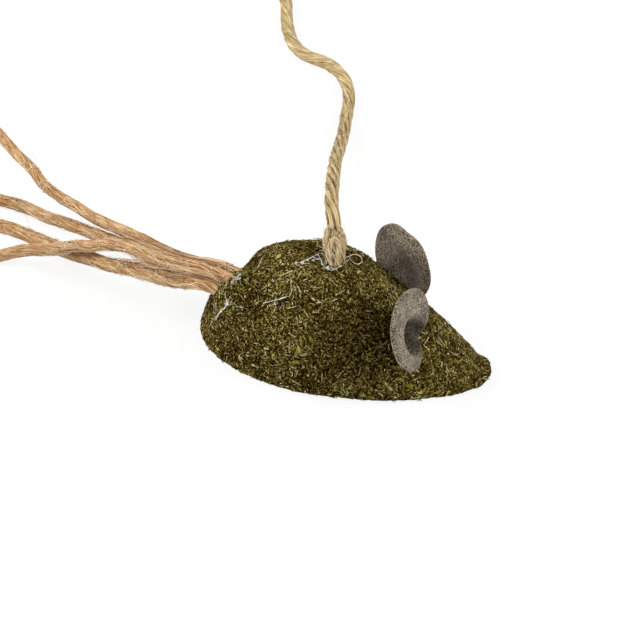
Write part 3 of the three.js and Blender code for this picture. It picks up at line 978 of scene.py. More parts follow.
@dataclass(frozen=True)
class BodyForm:
    """The mouse's form: half a teardrop with a flat belly."""

    length: float = 62 * MM
    width: float = 34 * MM
    height: float = 24 * MM
    widest_x: float = -5.1 * MM
    highest_x: float = -5.2 * MM
    plan_rear: float = 2.03
    plan_front: float = 1.71
    profile_rear: float = 1.96
    profile_front: float = 1.03
    profile_rounding: float = 0.16
    section: float = 2.1
    belly_edge: float = 1 * MM
    nose_lift: float = 1.7 * MM
    nose_lift_length: float = 3.5 * MM
    nose_round: float = 3 * MM
    nose_fullness: float = 1.8
    normal_reach: float = 0.5 * MM

    def _swell(self, x: Array, peak: float, rear: float, front: float, rounding: float = 0.0) -> Array:
        """Gives the share of the full width or height at stations.

        Args:
            x: The stations.
            peak: Where it is fullest.
            rear: Fullness behind the peak.
            front: Fullness before it.
            rounding: How softly the front leaves the peak.

        Returns:
            The shares.
        """
        behind = x < peak
        reach = np.where(behind, self.length / 2 + peak, self.length / 2 - peak)
        away = np.minimum(1, np.abs(x - peak) / reach)
        eased = (np.hypot(away, rounding) - rounding) / (math.hypot(1, rounding) - rounding)
        power = np.where(behind, rear, front)
        return np.maximum(0, 1 - eased**power) ** (1 / power)

    def sections(self, x: Array) -> tuple[Array, Array, Array, Array]:
        """Gives the cross-sections at stations.

        Args:
            x: The stations.

        Returns:
            Half width, height, edge radius and lift at each.
        """
        start = self.length / 2 - self.nose_round
        closed = np.clip((x - start) / self.nose_round, 0, 1)
        blunt = (1 - closed**self.nose_fullness) ** (1 / self.nose_fullness)
        behind = np.minimum(x, start)
        wide = self._swell(behind, self.widest_x, self.plan_rear, self.plan_front)
        high = self._swell(
            behind, self.highest_x, self.profile_rear, self.profile_front, self.profile_rounding
        )
        half, tall = self.width / 2 * wide * blunt, self.height * high * blunt
        edge = np.minimum(self.belly_edge, np.minimum(tall / 2, half / 2))
        raised = np.maximum(0, 1 - (self.length / 2 - x) / self.nose_lift_length)
        return half, tall, edge, self.nose_lift * raised**2

    def skin(self, x: Array, angle: Array) -> Array:
        """Gives points of the surface.

        Args:
            x: Their stations.
            angle: Their angles round the section, from the left side over the top.

        Returns:
            The points.
        """
        half, tall, edge, lift = self.sections(x)
        side, rise = np.cos(angle), np.sin(angle)
        power = 2 / self.section
        over = half * np.sign(side) * np.abs(side) ** power
        above = edge + (tall - edge) * np.abs(rise) ** power
        under = half * side
        past = np.clip(np.abs(under) - (half - edge), 0, edge)
        below = edge - np.sqrt(np.maximum(edge**2 - past**2, 0))
        upper = rise >= 0
        return np.stack([x, np.where(upper, over, under), np.where(upper, above, below) + lift], axis=-1)

    def top(self, x: Array | float, y: Array | float) -> Array:
        """Finds the upper surface over places on the floor.

        Args:
            x: Their x.
            y: Their y.

        Returns:
            The points on the surface.
        """
        x, y = np.broadcast_arrays(np.asarray(x, float), np.asarray(y, float))
        half, tall, edge, lift = self.sections(x)
        across = np.minimum(1, np.abs(y) / np.maximum(half, 1e-9))
        z = edge + (tall - edge) * (1 - across**self.section) ** (1 / self.section)
        return np.stack([x, y, z + lift], axis=-1)

    def normal(self, x: float, y: float) -> Array:
        """Finds the upper surface's normal.

        Args:
            x: The place's x.
            y: The place's y.

        Returns:
            The normal.
        """
        reach = self.normal_reach
        along = self.top(x + reach, y) - self.top(x - reach, y)
        across = self.top(x, y + reach) - self.top(x, y - reach)
        return unit(np.cross(along, across))


def triangle_spots(verts: Array, faces: Faces, count: int, rng: Chance) -> tuple[Array, Array]:
    """Scatters spots evenly over a mesh.

    Args:
        verts: The mesh's vertices.
        faces: Its faces, of which quads are split.
        count: How many spots.
        rng: The chance to use.

    Returns:
        The spots and the normals there.
    """
    triangles = np.array([(f[0], f[i], f[i + 1]) for f in faces for i in range(1, len(f) - 1)])
    a, b, c = (verts[triangles[:, i]] for i in range(3))
    crosses = np.cross(b - a, c - a)
    areas = np.linalg.norm(crosses, axis=1)
    chosen = rng.choice(len(triangles), count, p=areas / areas.sum())
    u, v = rng.random((2, count, 1))
    flip = u + v > 1
    u, v = np.where(flip, 1 - u, u), np.where(flip, 1 - v, v)
    spots = a[chosen] + u * (b - a)[chosen] + v * (c - a)[chosen]
    return spots, unit(crosses[chosen])


class Outline(Enum):
    """The outlines of loose bits, one long and one wide."""

    CHIP = ((-0.5, 0.08), (0.08, 0.5), (0.5, -0.1), (-0.1, -0.5))
    LEAF = ((-0.5, 0.0), (-0.22, 0.42), (0.2, 0.5), (0.5, 0.06), (0.24, -0.44), (-0.2, -0.5))
    STEM = ((-0.5, 0.35), (0.5, 0.45), (0.52, -0.4), (-0.5, -0.4))

    @property
    def faces(self) -> Faces:
        """The faces of a thin slab with this outline."""
        count = len(self.value)
        top, base = tuple(range(count)), tuple(range(2 * count - 1, count - 1, -1))
        sides = [(i, i + count, (i + 1) % count + count, (i + 1) % count) for i in range(count)]
        return [top, base, *sides]


@dataclass(frozen=True)
class Litter:
    """Loose bits of one sort, pressed into the mouse's surface."""

    outline: Outline
    count: int
    length: Pair
    width: Pair
    thick: float
    tilt: float
    lift: Pair
    curl: Pair = (-0.3, 0.1)
    unevenness: float = 0.22
    least_height: float = 0.01 * MM

    def scatter(self, soup: Soup, spots: Array, normals: Array, rng: Chance) -> None:
        """Strews the bits on a surface.

        Args:
            soup: Where they are added.
            spots: Where they lie.
            normals: The surface's normals there.
            rng: The chance to use.
        """
        count = len(spots)
        lean = unit(normals + self.tilt * rng.normal(size=(count, 3)))
        along = unit(np.cross(lean, rng.normal(size=(count, 3))))
        length = rng.uniform(*self.length, count)
        width = rng.uniform(*self.width, count)
        self.lay(soup, spots, normals, lean, along * length[:, None], width, rng)

    def lay(
        self, soup: Soup, spots: Array, normals: Array, lean: Array, reach: Array, width: Array, rng: Chance
    ) -> None:
        """Lays bits of known lengths and widths.

        Args:
            soup: Where they are added.
            spots: Where they lie.
            normals: The surface's normals there.
            lean: The way that each bit's upper side faces.
            reach: The way and the length that each bit runs.
            width: Their widths.
            rng: The chance to use.
        """
        count = len(spots)
        length = np.linalg.norm(reach, axis=1)[:, None, None]
        along = unit(reach)
        across = np.cross(lean, along)
        curl = rng.uniform(*self.curl, (count, 1))
        corners = np.array(self.outline.value)[None]
        outline = corners * (1 + self.unevenness * rng.normal(size=(count, corners.shape[1], 2)))
        bend = curl * outline[:, :, 0] ** 2 * length[:, :, 0]
        raised = rng.uniform(*self.lift, (count, 1)) + bend
        upper = (
            spots[:, None]
            + length * outline[:, :, :1] * along[:, None]
            + width[:, None, None] * outline[:, :, 1:] * across[:, None]
            + raised[:, :, None] * normals[:, None]
        )
        both = np.concatenate([upper, upper - self.thick * lean[:, None]], axis=1)
        for slab in lifted(both, self.least_height):
            soup.add(slab, self.outline.faces)


# The x and y of both ends, and the width, of the bits that lie each at their own place.
LARGE_LEAVES_MM = (
    (-6.5, -14.5, -5.1, -15.1, 0.8), (-9.2, -16.2, -7.2, -16.3, 0.9), (-8.5, -15.3, -7.8, -15.8, 0.7),
    (-24.0, -11.3, -22.6, -12.0, 0.7), (5.6, -13.5, 6.6, -13.0, 0.8), (-16.4, -2.2, -15.6, -1.3, 0.9),
    (14.1, -12.9, 16.0, -12.2, 0.8), (12.0, -13.3, 12.8, -13.0, 0.7), (-20.3, -13.9, -19.1, -14.4, 0.7),
    (-13.4, -15.5, -12.9, -15.8, 0.6), (0.3, -2.4, 0.9, -1.2, 0.6), (16.8, -12.2, 18.0, -11.7, 0.7),
)
LARGE_STEMS_MM = (
    (-4.4, -6.3, -1.7, -7.6, 0.25), (-14.8, -6.7, -12.4, -5.6, 0.3), (10.1, -14.2, 11.8, -14.0, 0.45),
    (2.7, -16.2, 3.6, -15.9, 0.35), (4.8, -14.8, 4.6, -15.3, 0.35), (16.3, -6.4, 17.8, -6.4, 0.4),
    (16.4, -6.1, 17.0, -3.8, 0.25), (-2.9, -4.6, -2.0, -5.5, 0.25), (-19.9, -3.9, -19.7, -0.6, 0.3),
    (23.4, -4.3, 24.7, -1.9, 0.3), (-11.8, -11.7, -10.4, -11.5, 0.25),
)
# The x, y, radius and rise of the mounds and dents that the pressing left.
SWELLS_MM = (
    (-17, 5.2, 1.3, -0.9), (-12.5, 7.0, 1.8, -0.4), (9, 5.0, 2.0, -0.35), (-24.4, -4.0, 3.2, 1.5),
    (-26.3, -5.2, 3.0, 1.3), (-22.3, -0.6, 3.0, -1.4), (-26.0, 4.8, 4.2, -3.0),
)
# The size and the depth of the bumps all over the body, and what makes them their own.
BUMPS_MM = ((7, 0.2, 3.1), (1.3, 0.13, 11.7), (0.55, 0.09, 23.9))


@dataclass
class Mouse:
    """The pressed catnip body with its loose leaf and stem."""

    form: BodyForm
    stations: int = 210
    sides: int = 240
    inset: float = 0.15 * MM
    rump_height: float = 0.5 * MM
    chips: Litter = Litter(Outline.CHIP, 16000, mm(0.4, 1.35), mm(0.1, 0.23), 0.08 * MM, 0.08, mm(0, 0.06))
    leaves: Litter = Litter(Outline.LEAF, 240, mm(0.7, 1.4), mm(0.22, 0.5), 0.08 * MM, 0.1, mm(0.14, 0.28))
    stems: Litter = Litter(Outline.STEM, 800, mm(0.7, 2.3), mm(0.09, 0.17), 0.1 * MM, 0.1, mm(0.14, 0.28))

    def outward(self, points: Array) -> Array:
        """Gives the way out of the body at places on it."""
        inner = np.array([self.form.highest_x, 0, self.form.height / 3])
        return unit((points - inner) * np.array([0.55, 1.0, 1.0]))

    def swollen(self, points: Array) -> Array:
        """Moves points of the plain form out or in where the pressing left a mound or a dent.

        Args:
            points: Places on the form.

        Returns:
            The moved places.
        """
        height = np.zeros(points.shape[:-1])
        for x, y, radius, rise in np.array(SWELLS_MM) * MM:
            far = np.linalg.norm(points - self.form.top(x, y), axis=-1) / radius
            height += rise * np.exp(-(far**2))
        return points + height[..., None] * self.outward(points)

    def skin(self) -> Shape:
        """Makes the rough surface.

        Returns:
            The vertices and the faces.
        """
        form = self.form
        share = np.cos(np.linspace(math.pi, 0, self.stations + 1)[1:-1])
        ends = np.where(share < 0, -form.length / 2, form.length / 2)
        x = form.highest_x + (ends - form.highest_x) * np.abs(share)
        angle = round_angles(self.sides)
        rings = form.skin(np.repeat(x[:, None], self.sides, 1), np.repeat(angle[None], len(x), 0))
        verts, faces = loft(rings)
        verts[-2:] = [(-form.length / 2, 0, self.rump_height), (form.length / 2, 0, form.nose_lift)]
        out = np.full(len(verts), -self.inset)
        for size, depth, seed in BUMPS_MM:
            out += depth * MM * rough(verts, size * MM, seed)
        return lifted(self.swollen(verts) + self.outward(verts) * out[:, None]), faces

    def press_in(self, soup: Soup, litter: Litter, large: Array, rng: Chance) -> None:
        """Lays the larger bits, each at its own place.

        Args:
            soup: Where they are added.
            litter: Their sort.
            large: The x and y of both ends, and the width, of each.
            rng: The chance to use.
        """
        start, end = (self.swollen(self.form.top(large[:, i], large[:, i + 1])) for i in (0, 2))
        middle = (large[:, :2] + large[:, 2:4]) / 2
        normals = np.array([self.form.normal(x, y) for x, y in middle])
        spots = self.swollen(self.form.top(middle[:, 0], middle[:, 1]))
        litter.lay(soup, spots, normals, normals, end - start, large[:, 4], rng)

    def build(self, palette: Palette) -> None:
        """Makes the body and what is pressed into it.

        Args:
            palette: The finishes.
        """
        rng = np.random.default_rng(41)
        verts, faces = self.skin()
        body = make_object("mouse_body", verts, faces, palette.catnip)
        dress(body, ("catnip_body",), Body.MOUSE)
        for name, litter, material, large in (
            ("mouse_chips", self.chips, palette.leaf, ()),
            ("mouse_leaves", self.leaves, palette.bright_leaf, LARGE_LEAVES_MM),
            ("mouse_stems", self.stems, palette.straw, LARGE_STEMS_MM),
        ):
            soup = Soup()
            spots, normals = triangle_spots(verts, faces, litter.count, rng)
            litter.scatter(soup, spots, normals, rng)
            if large:
                self.press_in(soup, litter, np.array(large) * MM, rng)
            dress(soup.build(name, material), body=Body.MOUSE)


@dataclass(frozen=True)
class Pocket:
    """A hollow pressed into an ear: its place and half sizes on the flat disc, and its depth."""

    out: float
    across: float
    half_out: float
    half_across: float
    depth: float
    floor: float = 0.2

    def press(self, flat: Array) -> Array:
        """Gives how far the felt is pressed in.

        Args:
            flat: Points of the disc, out from the glued point and across.

        Returns:
            The depth at each point.
        """
        out, across = flat[..., 0] - self.out, flat[..., 1] - self.across
        away = np.hypot(out / self.half_out, across / self.half_across)
        return self.depth * (1 - smoothstep(away, self.floor, 1.0))


@dataclass
class Ear:
    """A felt disc, glued at one point of its rim and rolled into a shallow cone about that point."""

    body: Body
    x: float
    y: float
    sweep: float
    rise: float
    turn: float
    cone: float
    seed: int
    pocket: Pocket
    notches: tuple[Triple, ...]
    bend: Pair = mm(3, 13)
    diameter: float = 17.4 * MM
    thickness: float = 1.1 * MM
    sink: float = 0.5 * MM
    seat: float = 2.5 * MM
    above: float = 0.25 * MM
    rings: int = 26
    rim_rings: int = 6
    sides: int = 110
    hairs: int = 900
    hair_radius: float = 0.022 * MM

    def axes(self) -> tuple[Array, Array]:
        """Finds how the ear stands.

        Returns:
            The directions out of the head and out of the ear's face.
        """
        side = math.copysign(1, self.y)
        sweep, rise, turn = (math.radians(a) for a in (self.sweep, self.rise, self.turn))
        flat = math.cos(rise)
        outward = np.array([-math.sin(sweep) * flat, side * math.cos(sweep) * flat, math.sin(rise)])
        forward = np.array([math.cos(sweep), side * math.sin(sweep), 0])
        upward = -side * np.cross(outward, forward)
        return outward, forward * math.cos(turn) + upward * math.sin(turn)

    def roll(self, flat: Array, offset: Array, root: Array) -> Array:
        """Rolls points of the flat disc up into the cone.

        Args:
            flat: Points of the disc, out from the glued point and across.
            offset: Their heights over the disc's middle.
            root: The glued point.

        Returns:
            The rolled points.
        """
        outward, facing = self.axes()
        lateral = np.cross(outward, facing)
        s, c = math.sin(math.radians(self.cone)), math.cos(math.radians(self.cone))
        wrap = np.arctan2(flat[..., 1:], np.maximum(flat[..., :1], 1e-6)) / s
        cos, sin = np.cos(wrap), np.sin(wrap)
        ray = (c * c + s * s * cos) * outward + s * c * (1 - cos) * facing + s * sin * lateral
        normal = s * c * (1 - cos) * outward + (s * s + c * c * cos) * facing - c * sin * lateral
        return root + np.hypot(flat[..., :1], flat[..., 1:]) * ray + offset[..., None] * normal

    def build(self, form: BodyForm, palette: Palette) -> None:
        """Makes the ear.

        Args:
            form: The mouse's form.
            palette: The finishes.
        """
        rng = np.random.default_rng(self.seed)
        root = form.top(self.x, self.y) - UP * self.sink
        radius, half = self.diameter / 2, self.thickness / 2
        inner = np.linspace(0.02, 1, self.rings) * (radius - half)
        rim = np.linspace(0, math.pi, self.rim_rings + 2)[1:-1]
        away = np.concatenate([inner, radius - half + half * np.sin(rim), inner[::-1]])[:, None]
        face = np.full(self.rings, half)
        raised = np.concatenate([face, half * np.cos(rim), -face])[:, None]
        angle = round_angles(self.sides)
        wobble = 1 + 0.012 * np.sin(3 * angle + self.seed) + 0.008 * np.sin(7 * angle + 2 * self.seed)
        for heading, spread, deep in self.notches:
            turned = np.degrees(angle) - heading
            wobble = wobble - deep / radius * np.exp(-(((turned + 180) % 360 - 180) / spread) ** 2)
        flat = np.stack([radius + away * wobble * np.cos(angle), away * wobble * np.sin(angle)], axis=-1)
        rolled = self.roll(flat, raised - self.pocket.press(flat), root)
        if self.pocket.depth > 0:
            free = smoothstep(np.linalg.norm(rolled - root, axis=-1), 0, self.seat)
            least = free * (raised + half + self.above) - (1 - free) * self.sink
            head = form.top(rolled[..., 0], rolled[..., 1])[..., 2]
            rolled[..., 2] = np.maximum(rolled[..., 2], head + least)
        verts, faces = loft(rolled[::-1])
        soup = Soup()
        soup.add(verts, faces)
        for spot, normal in zip(*triangle_spots(verts, faces, self.hairs, rng)):
            lean = unit(0.5 * normal + 0.8 * rng.normal(size=3))
            line = spot + np.linspace(-0.1, 1, 3)[:, None] * lean * rng.uniform(0.3, 0.75) * MM
            soup.add(*hair(line, self.hair_radius))
        felt = palette.left_felt if self.y > 0 else palette.right_felt
        ear = soup.build(f"felt_{self.body.value}", felt)
        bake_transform(ear)
        dress(ear, (self.body.value,))


EARS = (
    Ear(
        Body.EAR_LEFT,
        x=13.2 * MM,
        y=4.6 * MM,
        sweep=46,
        rise=39,
        turn=-2,
        cone=78,
        seed=3,
        pocket=Pocket(*mm(5.5, 0.5, 6, 7, -1.5)),
        notches=((312, 19, 0.85 * MM), (260, 40, 0.45 * MM)),
    ),
    Ear(
        Body.EAR_RIGHT,
        x=15.4 * MM,
        y=-5.4 * MM,
        sweep=27,
        rise=45,
        turn=22,
        cone=67,
        seed=8,
        pocket=Pocket(*mm(5.2, -0.7, 6.2, 4.7, 3.2), floor=0.35),
        notches=((168, 11, 0.4 * MM), (345, 60, 0.5 * MM)),
        bend=mm(6, 16),
    ),
)


class Lay(Enum):
    """Which way a cord's plies turn."""

    S = -1
    Z = 1


@dataclass(frozen=True)
class Twine:
    """A twisted cord's cross-section and lay."""

    diameter: float
    plies: int
    lay_length: float
    groove: float
    lay: Lay = Lay.S
    sides: int = 24
    step: float = 0.6 * MM
    unevenness: float = 0.05
    slack_lay: float = 0.0
    slack_groove: float = 0.0
    slack_until: Pair = (0.0, 1.0)
    root_swell: float = 0.0
    root_ends: Pair = mm(8, 34)
    fibre_sink: float = 0.08 * MM

    def turns(self, along: Array) -> Array:
        """Gives how far the plies have turned along the cord, which starts slack near a knot.

        Args:
            along: Distances along the cord.

        Returns:
            The angles.
        """
        slack = (self.slack_lay or self.lay_length) - self.lay_length
        length = self.lay_length + slack * (1 - smoothstep(along, *self.slack_until))
        steps = np.diff(along) * 2 * math.pi / length[1:]
        return self.lay.value * np.concatenate([[0.0], np.cumsum(steps)])

    def hollow(self, angle: Array, along: Array) -> Array:
        """Gives how deep the surface lies between the plies.

        Args:
            angle: Angles round the section, which turn with the plies.
            along: Distances along the cord.

        Returns:
            The depth as a share of the radius.
        """
        lobe = np.abs(np.cos(self.plies / 2 * angle)) ** 0.7
        deeper = max(self.slack_groove - self.groove, 0.0)
        groove = self.groove + deeper * (1 - smoothstep(along, *self.slack_until))
        between = np.floor(angle * self.plies / FULL_TURN) % self.plies
        ripple = np.sin(along / (1.7 * MM) + 2.3 * between)
        worn = 0.7 + 0.3 * ripple * np.sin(along / (4.1 * MM) + 4.7 * between)
        return groove * worn * (1 - lobe)

    def reach(self, angle: Array, along: Array) -> Array:
        """Gives the radius at angles that turn with the plies, some distance along the cord."""
        girth = 1 + self.root_swell * (1 - smoothstep(along, *self.root_ends))
        return self.diameter / 2 * (1 - self.hollow(angle, along)) * girth

    def frame(self, line: Array) -> tuple[Array, Array, Array, Array]:
        """Gives even points on a line, how far along they are, and two directions across it at each."""
        points = resample(line, self.step)
        return points, length_along(points), *transport(points)

    def fibres(
        self, line: Array, count: int, length: Pair, thick: Pair, rng: Chance, drift: float, bow: float = 0.12
    ) -> Soup:
        """Lays long fibres on the cord that follow its plies.

        Args:
            line: The cord's line.
            count: How many fibres.
            length: Their least and greatest lengths, in millimetres.
            thick: Their least and greatest radii, in millimetres.
            rng: The chance to use.
            drift: How far they stray round the cord, in radians.
            bow: How far they may stand off, in millimetres.

        Returns:
            The fibres.
        """
        soup = Soup()
        points, along, across, over = self.frame(line)
        turn = self.turns(along)
        for _ in range(count):
            long = rng.uniform(*mm(*length))
            start = rng.uniform(0, along[-1] - long)
            at = np.searchsorted(along, np.linspace(start, start + long, 6 + int(long / (1.3 * MM))))
            share = np.linspace(0, 1, len(at))
            wave = 0.4 * drift * np.sin(2 * math.pi * (share * rng.uniform(0.5, 2) + rng.random()))
            crown = (rng.integers(self.plies) + rng.normal(0, 0.2)) * 2 * math.pi / self.plies
            angle = crown + rng.normal(0, drift) * share + wave
            off = np.sin(math.pi * share) ** 0.5 * rng.uniform(0.1, 0.9) * (bow * MM)
            away = self.reach(angle, along[at]) - self.fibre_sink + off
            strand = points[at] + away[:, None] * around(angle + turn[at], across[at], over[at])
            soup.add(*hair(lifted(strand, FLOOR_GAP), rng.uniform(*mm(*thick))))
        return soup

    def spin(self, line: Array, seed: float) -> tuple[Array, Faces, Array]:
        """Makes the twisted cord along a line.

        Args:
            line: The line, at any spacing.
            seed: Makes its unevenness its own.

        Returns:
            The vertices, the faces and each vertex's lay.
        """
        points, along, across, over = self.frame(line)
        angle = round_angles(self.sides)
        facing = angle + self.turns(along)[:, None]
        spots = np.stack([np.cos(angle), np.sin(angle)], axis=1)
        lengths = np.repeat(along / (2.4 * self.diameter), self.sides)
        lumps = rough(np.column_stack([np.tile(spots, (len(points), 1)), lengths]), 0.8, seed)
        uneven = 1 + self.unevenness * lumps.reshape(len(points), self.sides)
        radius = self.reach(angle, along[:, None]) * uneven
        ring = around(facing, across[:, None], over[:, None])
        verts, faces = loft(points[:, None] + radius[..., None] * ring)
        lay = np.empty((len(points), self.sides, 4))
        lay[..., :2] = self.diameter / 2 * spots
        lay[..., 2] = along[:, None] + seed
        lay[..., 3] = self.hollow(angle, along[:, None])
        return verts, faces, np.vstack([lay.reshape(-1, 4), lay[0].mean(axis=0), lay[-1].mean(axis=0)])


def fuzz(
    soup: Soup,
    line: Array,
    radius: float,
    count: int,
    length: Pair,
    rise: Pair,
    rng: Chance,
    upper: bool = False,
    thick: Pair = (0.025, 0.045),
) -> None:
    """Lays stray fibres on a cord.

    Args:
        soup: Where they are added.
        line: The cord's centreline.
        radius: The cord's radius.
        count: How many fibres.
        length: Their least and greatest lengths, in millimetres.
        rise: The least and greatest share of their length by which they stand off.
        rng: The chance to use.
        upper: Whether they lie on the upper half alone.
        thick: Their least and greatest radii, in millimetres.
    """
    points = resample(line, 0.5 * MM)
    tangents = unit(np.gradient(points, axis=0))
    across, over = transport(points)
    share = np.linspace(0, 1, 6)[:, None]
    for _ in range(count):
        at = rng.integers(2, len(points) - 3)
        out = around(rng.uniform(0, FULL_TURN), across[at], over[at])
        out = -out if upper and out[2] < 0 else out
        round_it = np.cross(tangents[at], out)
        heading = unit(tangents[at] * rng.choice([-1, 1]) + round_it * rng.normal(0, 0.6))
        reach = rng.uniform(*mm(*length))
        root = points[at] + out * radius * 0.9
        rising = out * reach * rng.uniform(*rise) * share**1.6 * (1.25 - share)
        strand = root + heading * reach * share + rising
        strand = strand + round_it * reach * rng.normal(0, 0.15) * share**2
        soup.add(*hair(lifted(strand, FLOOR_GAP), rng.uniform(*thick) * MM))


CORD_ROUTE_MM = (
    (-7.5, 9.2, 27.5), (-8.2, 13.2, 26.8), (-9, 20.2, 24.5), (-10, 29.2, 20.8), (-11, 39.7, 16.2),
    (-12, 50.7, 11.5), (-12.5, 60.7, 7.5), (-13, 69.7, 4.1), (-13.5, 77.7, 1.7), (-14, 83.7, 0.4),
    (-14.3, 88.2, 0), (-14.8, 93.2, 0), (-16, 98.2, 0), (-18.5, 103, 0), (-21.5, 105.9, 0),
    (-24.7, 107.3, 0), (-28.2, 108.6, 0), (-31.4, 111.7, 0), (-33.8, 117.2, 0), (-35.6, 124, 0),
    (-37.2, 131.7, 0), (-39.8, 137.1, 0.3), (-44, 140.3, 0.8),
)


@dataclass
class Cord:
    """The jute cord from the knot on the back, through its coil, to the stick."""

    form: BodyForm
    diameter: float = 3 * MM
    exit_x: float = -4.3 * MM
    exit_y: float = -1.9 * MM
    knot_length: float = 6.6 * MM
    knot_lean: float = math.radians(48)
    knot_bearing: float = math.radians(108)
    clearance: float = 0.3 * MM
    coil_start: Pair = mm(-56, 141.3)
    coil_radius: float = 20.4 * MM
    coil_turns: float = 4.25
    coil_pitch: float = 3.6 * MM
    coil_layer: float = 3.6 * MM
    coil_climb: float = 0.5
    tie_diameter: float = 1.2 * MM
    tie_clearance: float = 0.45 * MM
    tie_slack: float = 0.1 * MM
    tie_turns: float = 2.5
    tie_pitch: float = 1.8 * MM
    tie_squareness: float = 5.0
    stick_diameter: float = 8 * MM
    stick_gap: float = 1.6 * MM
    bend: Pair = mm(-8.5, 12.5)
    bend_sample: int = 12
    photo_samples: int = 110
    fibres: int = 800
    low_fibres: int = 220
    cross_fibres: int = 520
    hairs: int = 260

    @property
    def radius(self) -> float:
        """Half the cord's thickness."""
        return self.diameter / 2

    @property
    def exit(self) -> Array:
        """Where the cord comes out of the back."""
        return self.form.top(self.exit_x, self.exit_y)

    @property
    def knot_axis(self) -> Array:
        """The way that the knot on the back leans."""
        flat, bearing = math.sin(self.knot_lean), self.knot_bearing
        return np.array([flat * math.cos(bearing), flat * math.sin(bearing), math.cos(self.knot_lean)])

    @property
    def knot_top(self) -> Array:
        """Where the cord leaves the knot."""
        return self.exit + self.knot_axis * (self.knot_length + self.clearance)

    @property
    def coil_base(self) -> float:
        """The height of the lower layer's middle."""
        return self.tie_diameter + self.tie_clearance + self.radius

    @property
    def stick_y(self) -> float:
        """Where the stick's middle line lies."""
        edge = self.coil_start[1] + 2 * self.coil_radius + self.radius
        return edge + self.stick_gap + self.stick_diameter / 2

    def coil_reach(self, turn: Array) -> Array:
        """Gives the coil's radius at turns from its start."""
        half = self.coil_turns / 2
        return self.coil_radius - self.coil_pitch * (half - np.abs(turn - half))

    def coil(self) -> Array:
        """Winds the coil, with a straight diameter at each end.

        Returns:
            Its points.
        """
        straight = self.diameter / (FULL_TURN * self.coil_radius)
        turn = np.linspace(-straight, self.coil_turns + straight, 420)
        wound = np.clip(turn, 0, self.coil_turns)
        angle = -math.pi / 2 - FULL_TURN * wound
        climb = (self.coil_turns - self.coil_climb) / 2
        height = self.coil_base + self.coil_layer * smoothstep(wound, climb, climb + self.coil_climb)
        reach = self.coil_reach(wound)
        past = FULL_TURN * self.coil_radius * (turn - wound)
        x = self.coil_start[0] + reach * np.cos(angle) + past * np.sin(angle)
        y = self.coil_start[1] + self.coil_radius + reach * np.sin(angle) - past * np.cos(angle)
        return np.stack([x, y, height], axis=1)

    def line(self) -> Array:
        """Joins the cord's stretches into one line.

        Returns:
            Its points, from the knot on the back to the far side of the stick.
        """
        coil = self.coil()
        start, end = coil[0], coil[-1]
        leave = [self.knot_top, self.knot_top + self.knot_axis * self.radius]
        route = np.array(CORD_ROUTE_MM) * MM + self.radius * UP
        arrive = [start + self.diameter * X_AXIS, start + self.clearance * X_AXIS]
        run = np.vstack([leave, route, arrive])
        half, ahead = self.stick_diameter / 2, self.diameter * Y_AXIS
        level = np.array([end[0], self.stick_y - half - self.diameter, half])
        far = np.array([end[0], self.stick_y + half, half])
        first = end + self.clearance * Y_AXIS
        lead = np.vstack([first, first + ahead, level, level + ahead, far])
        return np.vstack([centripetal(run, 12)[:-1], coil, centripetal(lead, 10)[1:]])

    def tie_line(self) -> Array:
        """Winds the thread round the side of the coil that faces +X.

        Returns:
            Its points.
        """
        tied = self.coil_reach(np.arange(0.75, self.coil_turns, 1.0))
        margin = self.radius + self.tie_slack + self.tie_diameter / 2
        wide = (tied.max() - tied.min()) / 2 + margin
        tall = self.coil_layer / 2 + margin
        share = np.linspace(0, 1, 260)
        angle = math.pi + FULL_TURN * self.tie_turns * share
        power = 2 / self.tie_squareness
        cos, sin = np.cos(angle), np.sin(angle)
        x = self.coil_start[0] + (tied.max() + tied.min()) / 2 + wide * np.sign(cos) * np.abs(cos) ** power
        y = self.coil_start[1] + self.coil_radius + (share - 0.5) * self.tie_turns * self.tie_pitch
        z = self.coil_base + self.coil_layer / 2 + tall * np.sign(sin) * np.abs(sin) ** power
        return np.stack([x, y, z], axis=1)

    def build(self, palette: Palette) -> tuple[Object, Object, Array]:
        """Makes the cord, its stray fibres and its tie.

        Args:
            palette: The finishes.

        Returns:
            The cord, its tie and its line, which ends at the far side of the stick.
        """
        rng = np.random.default_rng(5)
        line = resample(self.line(), 1 * MM)
        twine = Twine(
            self.diameter,
            plies=6,
            lay_length=27 * MM,
            groove=0.13,
            sides=42,
            slack_lay=60 * MM,
            slack_groove=0.32,
            slack_until=mm(75, 110),
            unevenness=0.13,
        )
        verts, faces, lay = twine.spin(line, 1.7)
        cord = make_object("jute_cord", verts, faces, palette.cord, lay)
        laid = twine.fibres(line, self.fibres, (6, 16), (0.05, 0.1), rng, 0.25)
        laid.join(twine.fibres(line[: self.photo_samples], self.low_fibres, (5, 18), (0.05, 0.09), rng, 0.5))
        stray = twine.fibres(line, self.cross_fibres, (2, 6), (0.03, 0.05), rng, 1.6, 0.25)
        fuzz(stray, line, self.radius, self.hairs, (1.5, 4.5), (0.03, 0.3), rng)
        heading = unit(line[self.bend_sample] - line[0])
        start, end = (self.knot_top + heading * reach for reach in self.bend)
        for piece, nodes in (
            (cord, ("cord_run", "cord_coil", "cord_lead")),
            (laid.build("cord_fibres", palette.cord_fibre), ()),
            (stray.build("cord_hairs", palette.hair), ()),
        ):
            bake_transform(piece)
            dress(piece, nodes)
        thread = Twine(self.tie_diameter, plies=2, lay_length=3.6 * MM, groove=0.2, sides=12, step=0.25 * MM)
        verts, faces, lay = thread.spin(self.tie_line(), 4.1)
        tie = make_object("coil_thread", verts, faces, palette.cord, lay)
        dress(tie, ("coil_tie",), Body.CORD)
        return cord, tie, line

    def declare(self, on_it: Sequence[Object]) -> None:
        """Looks up where the cord leaves the knot, and does nothing more.

        Args:
            on_it: The pieces on it; not used.
        """
        self.knot_top


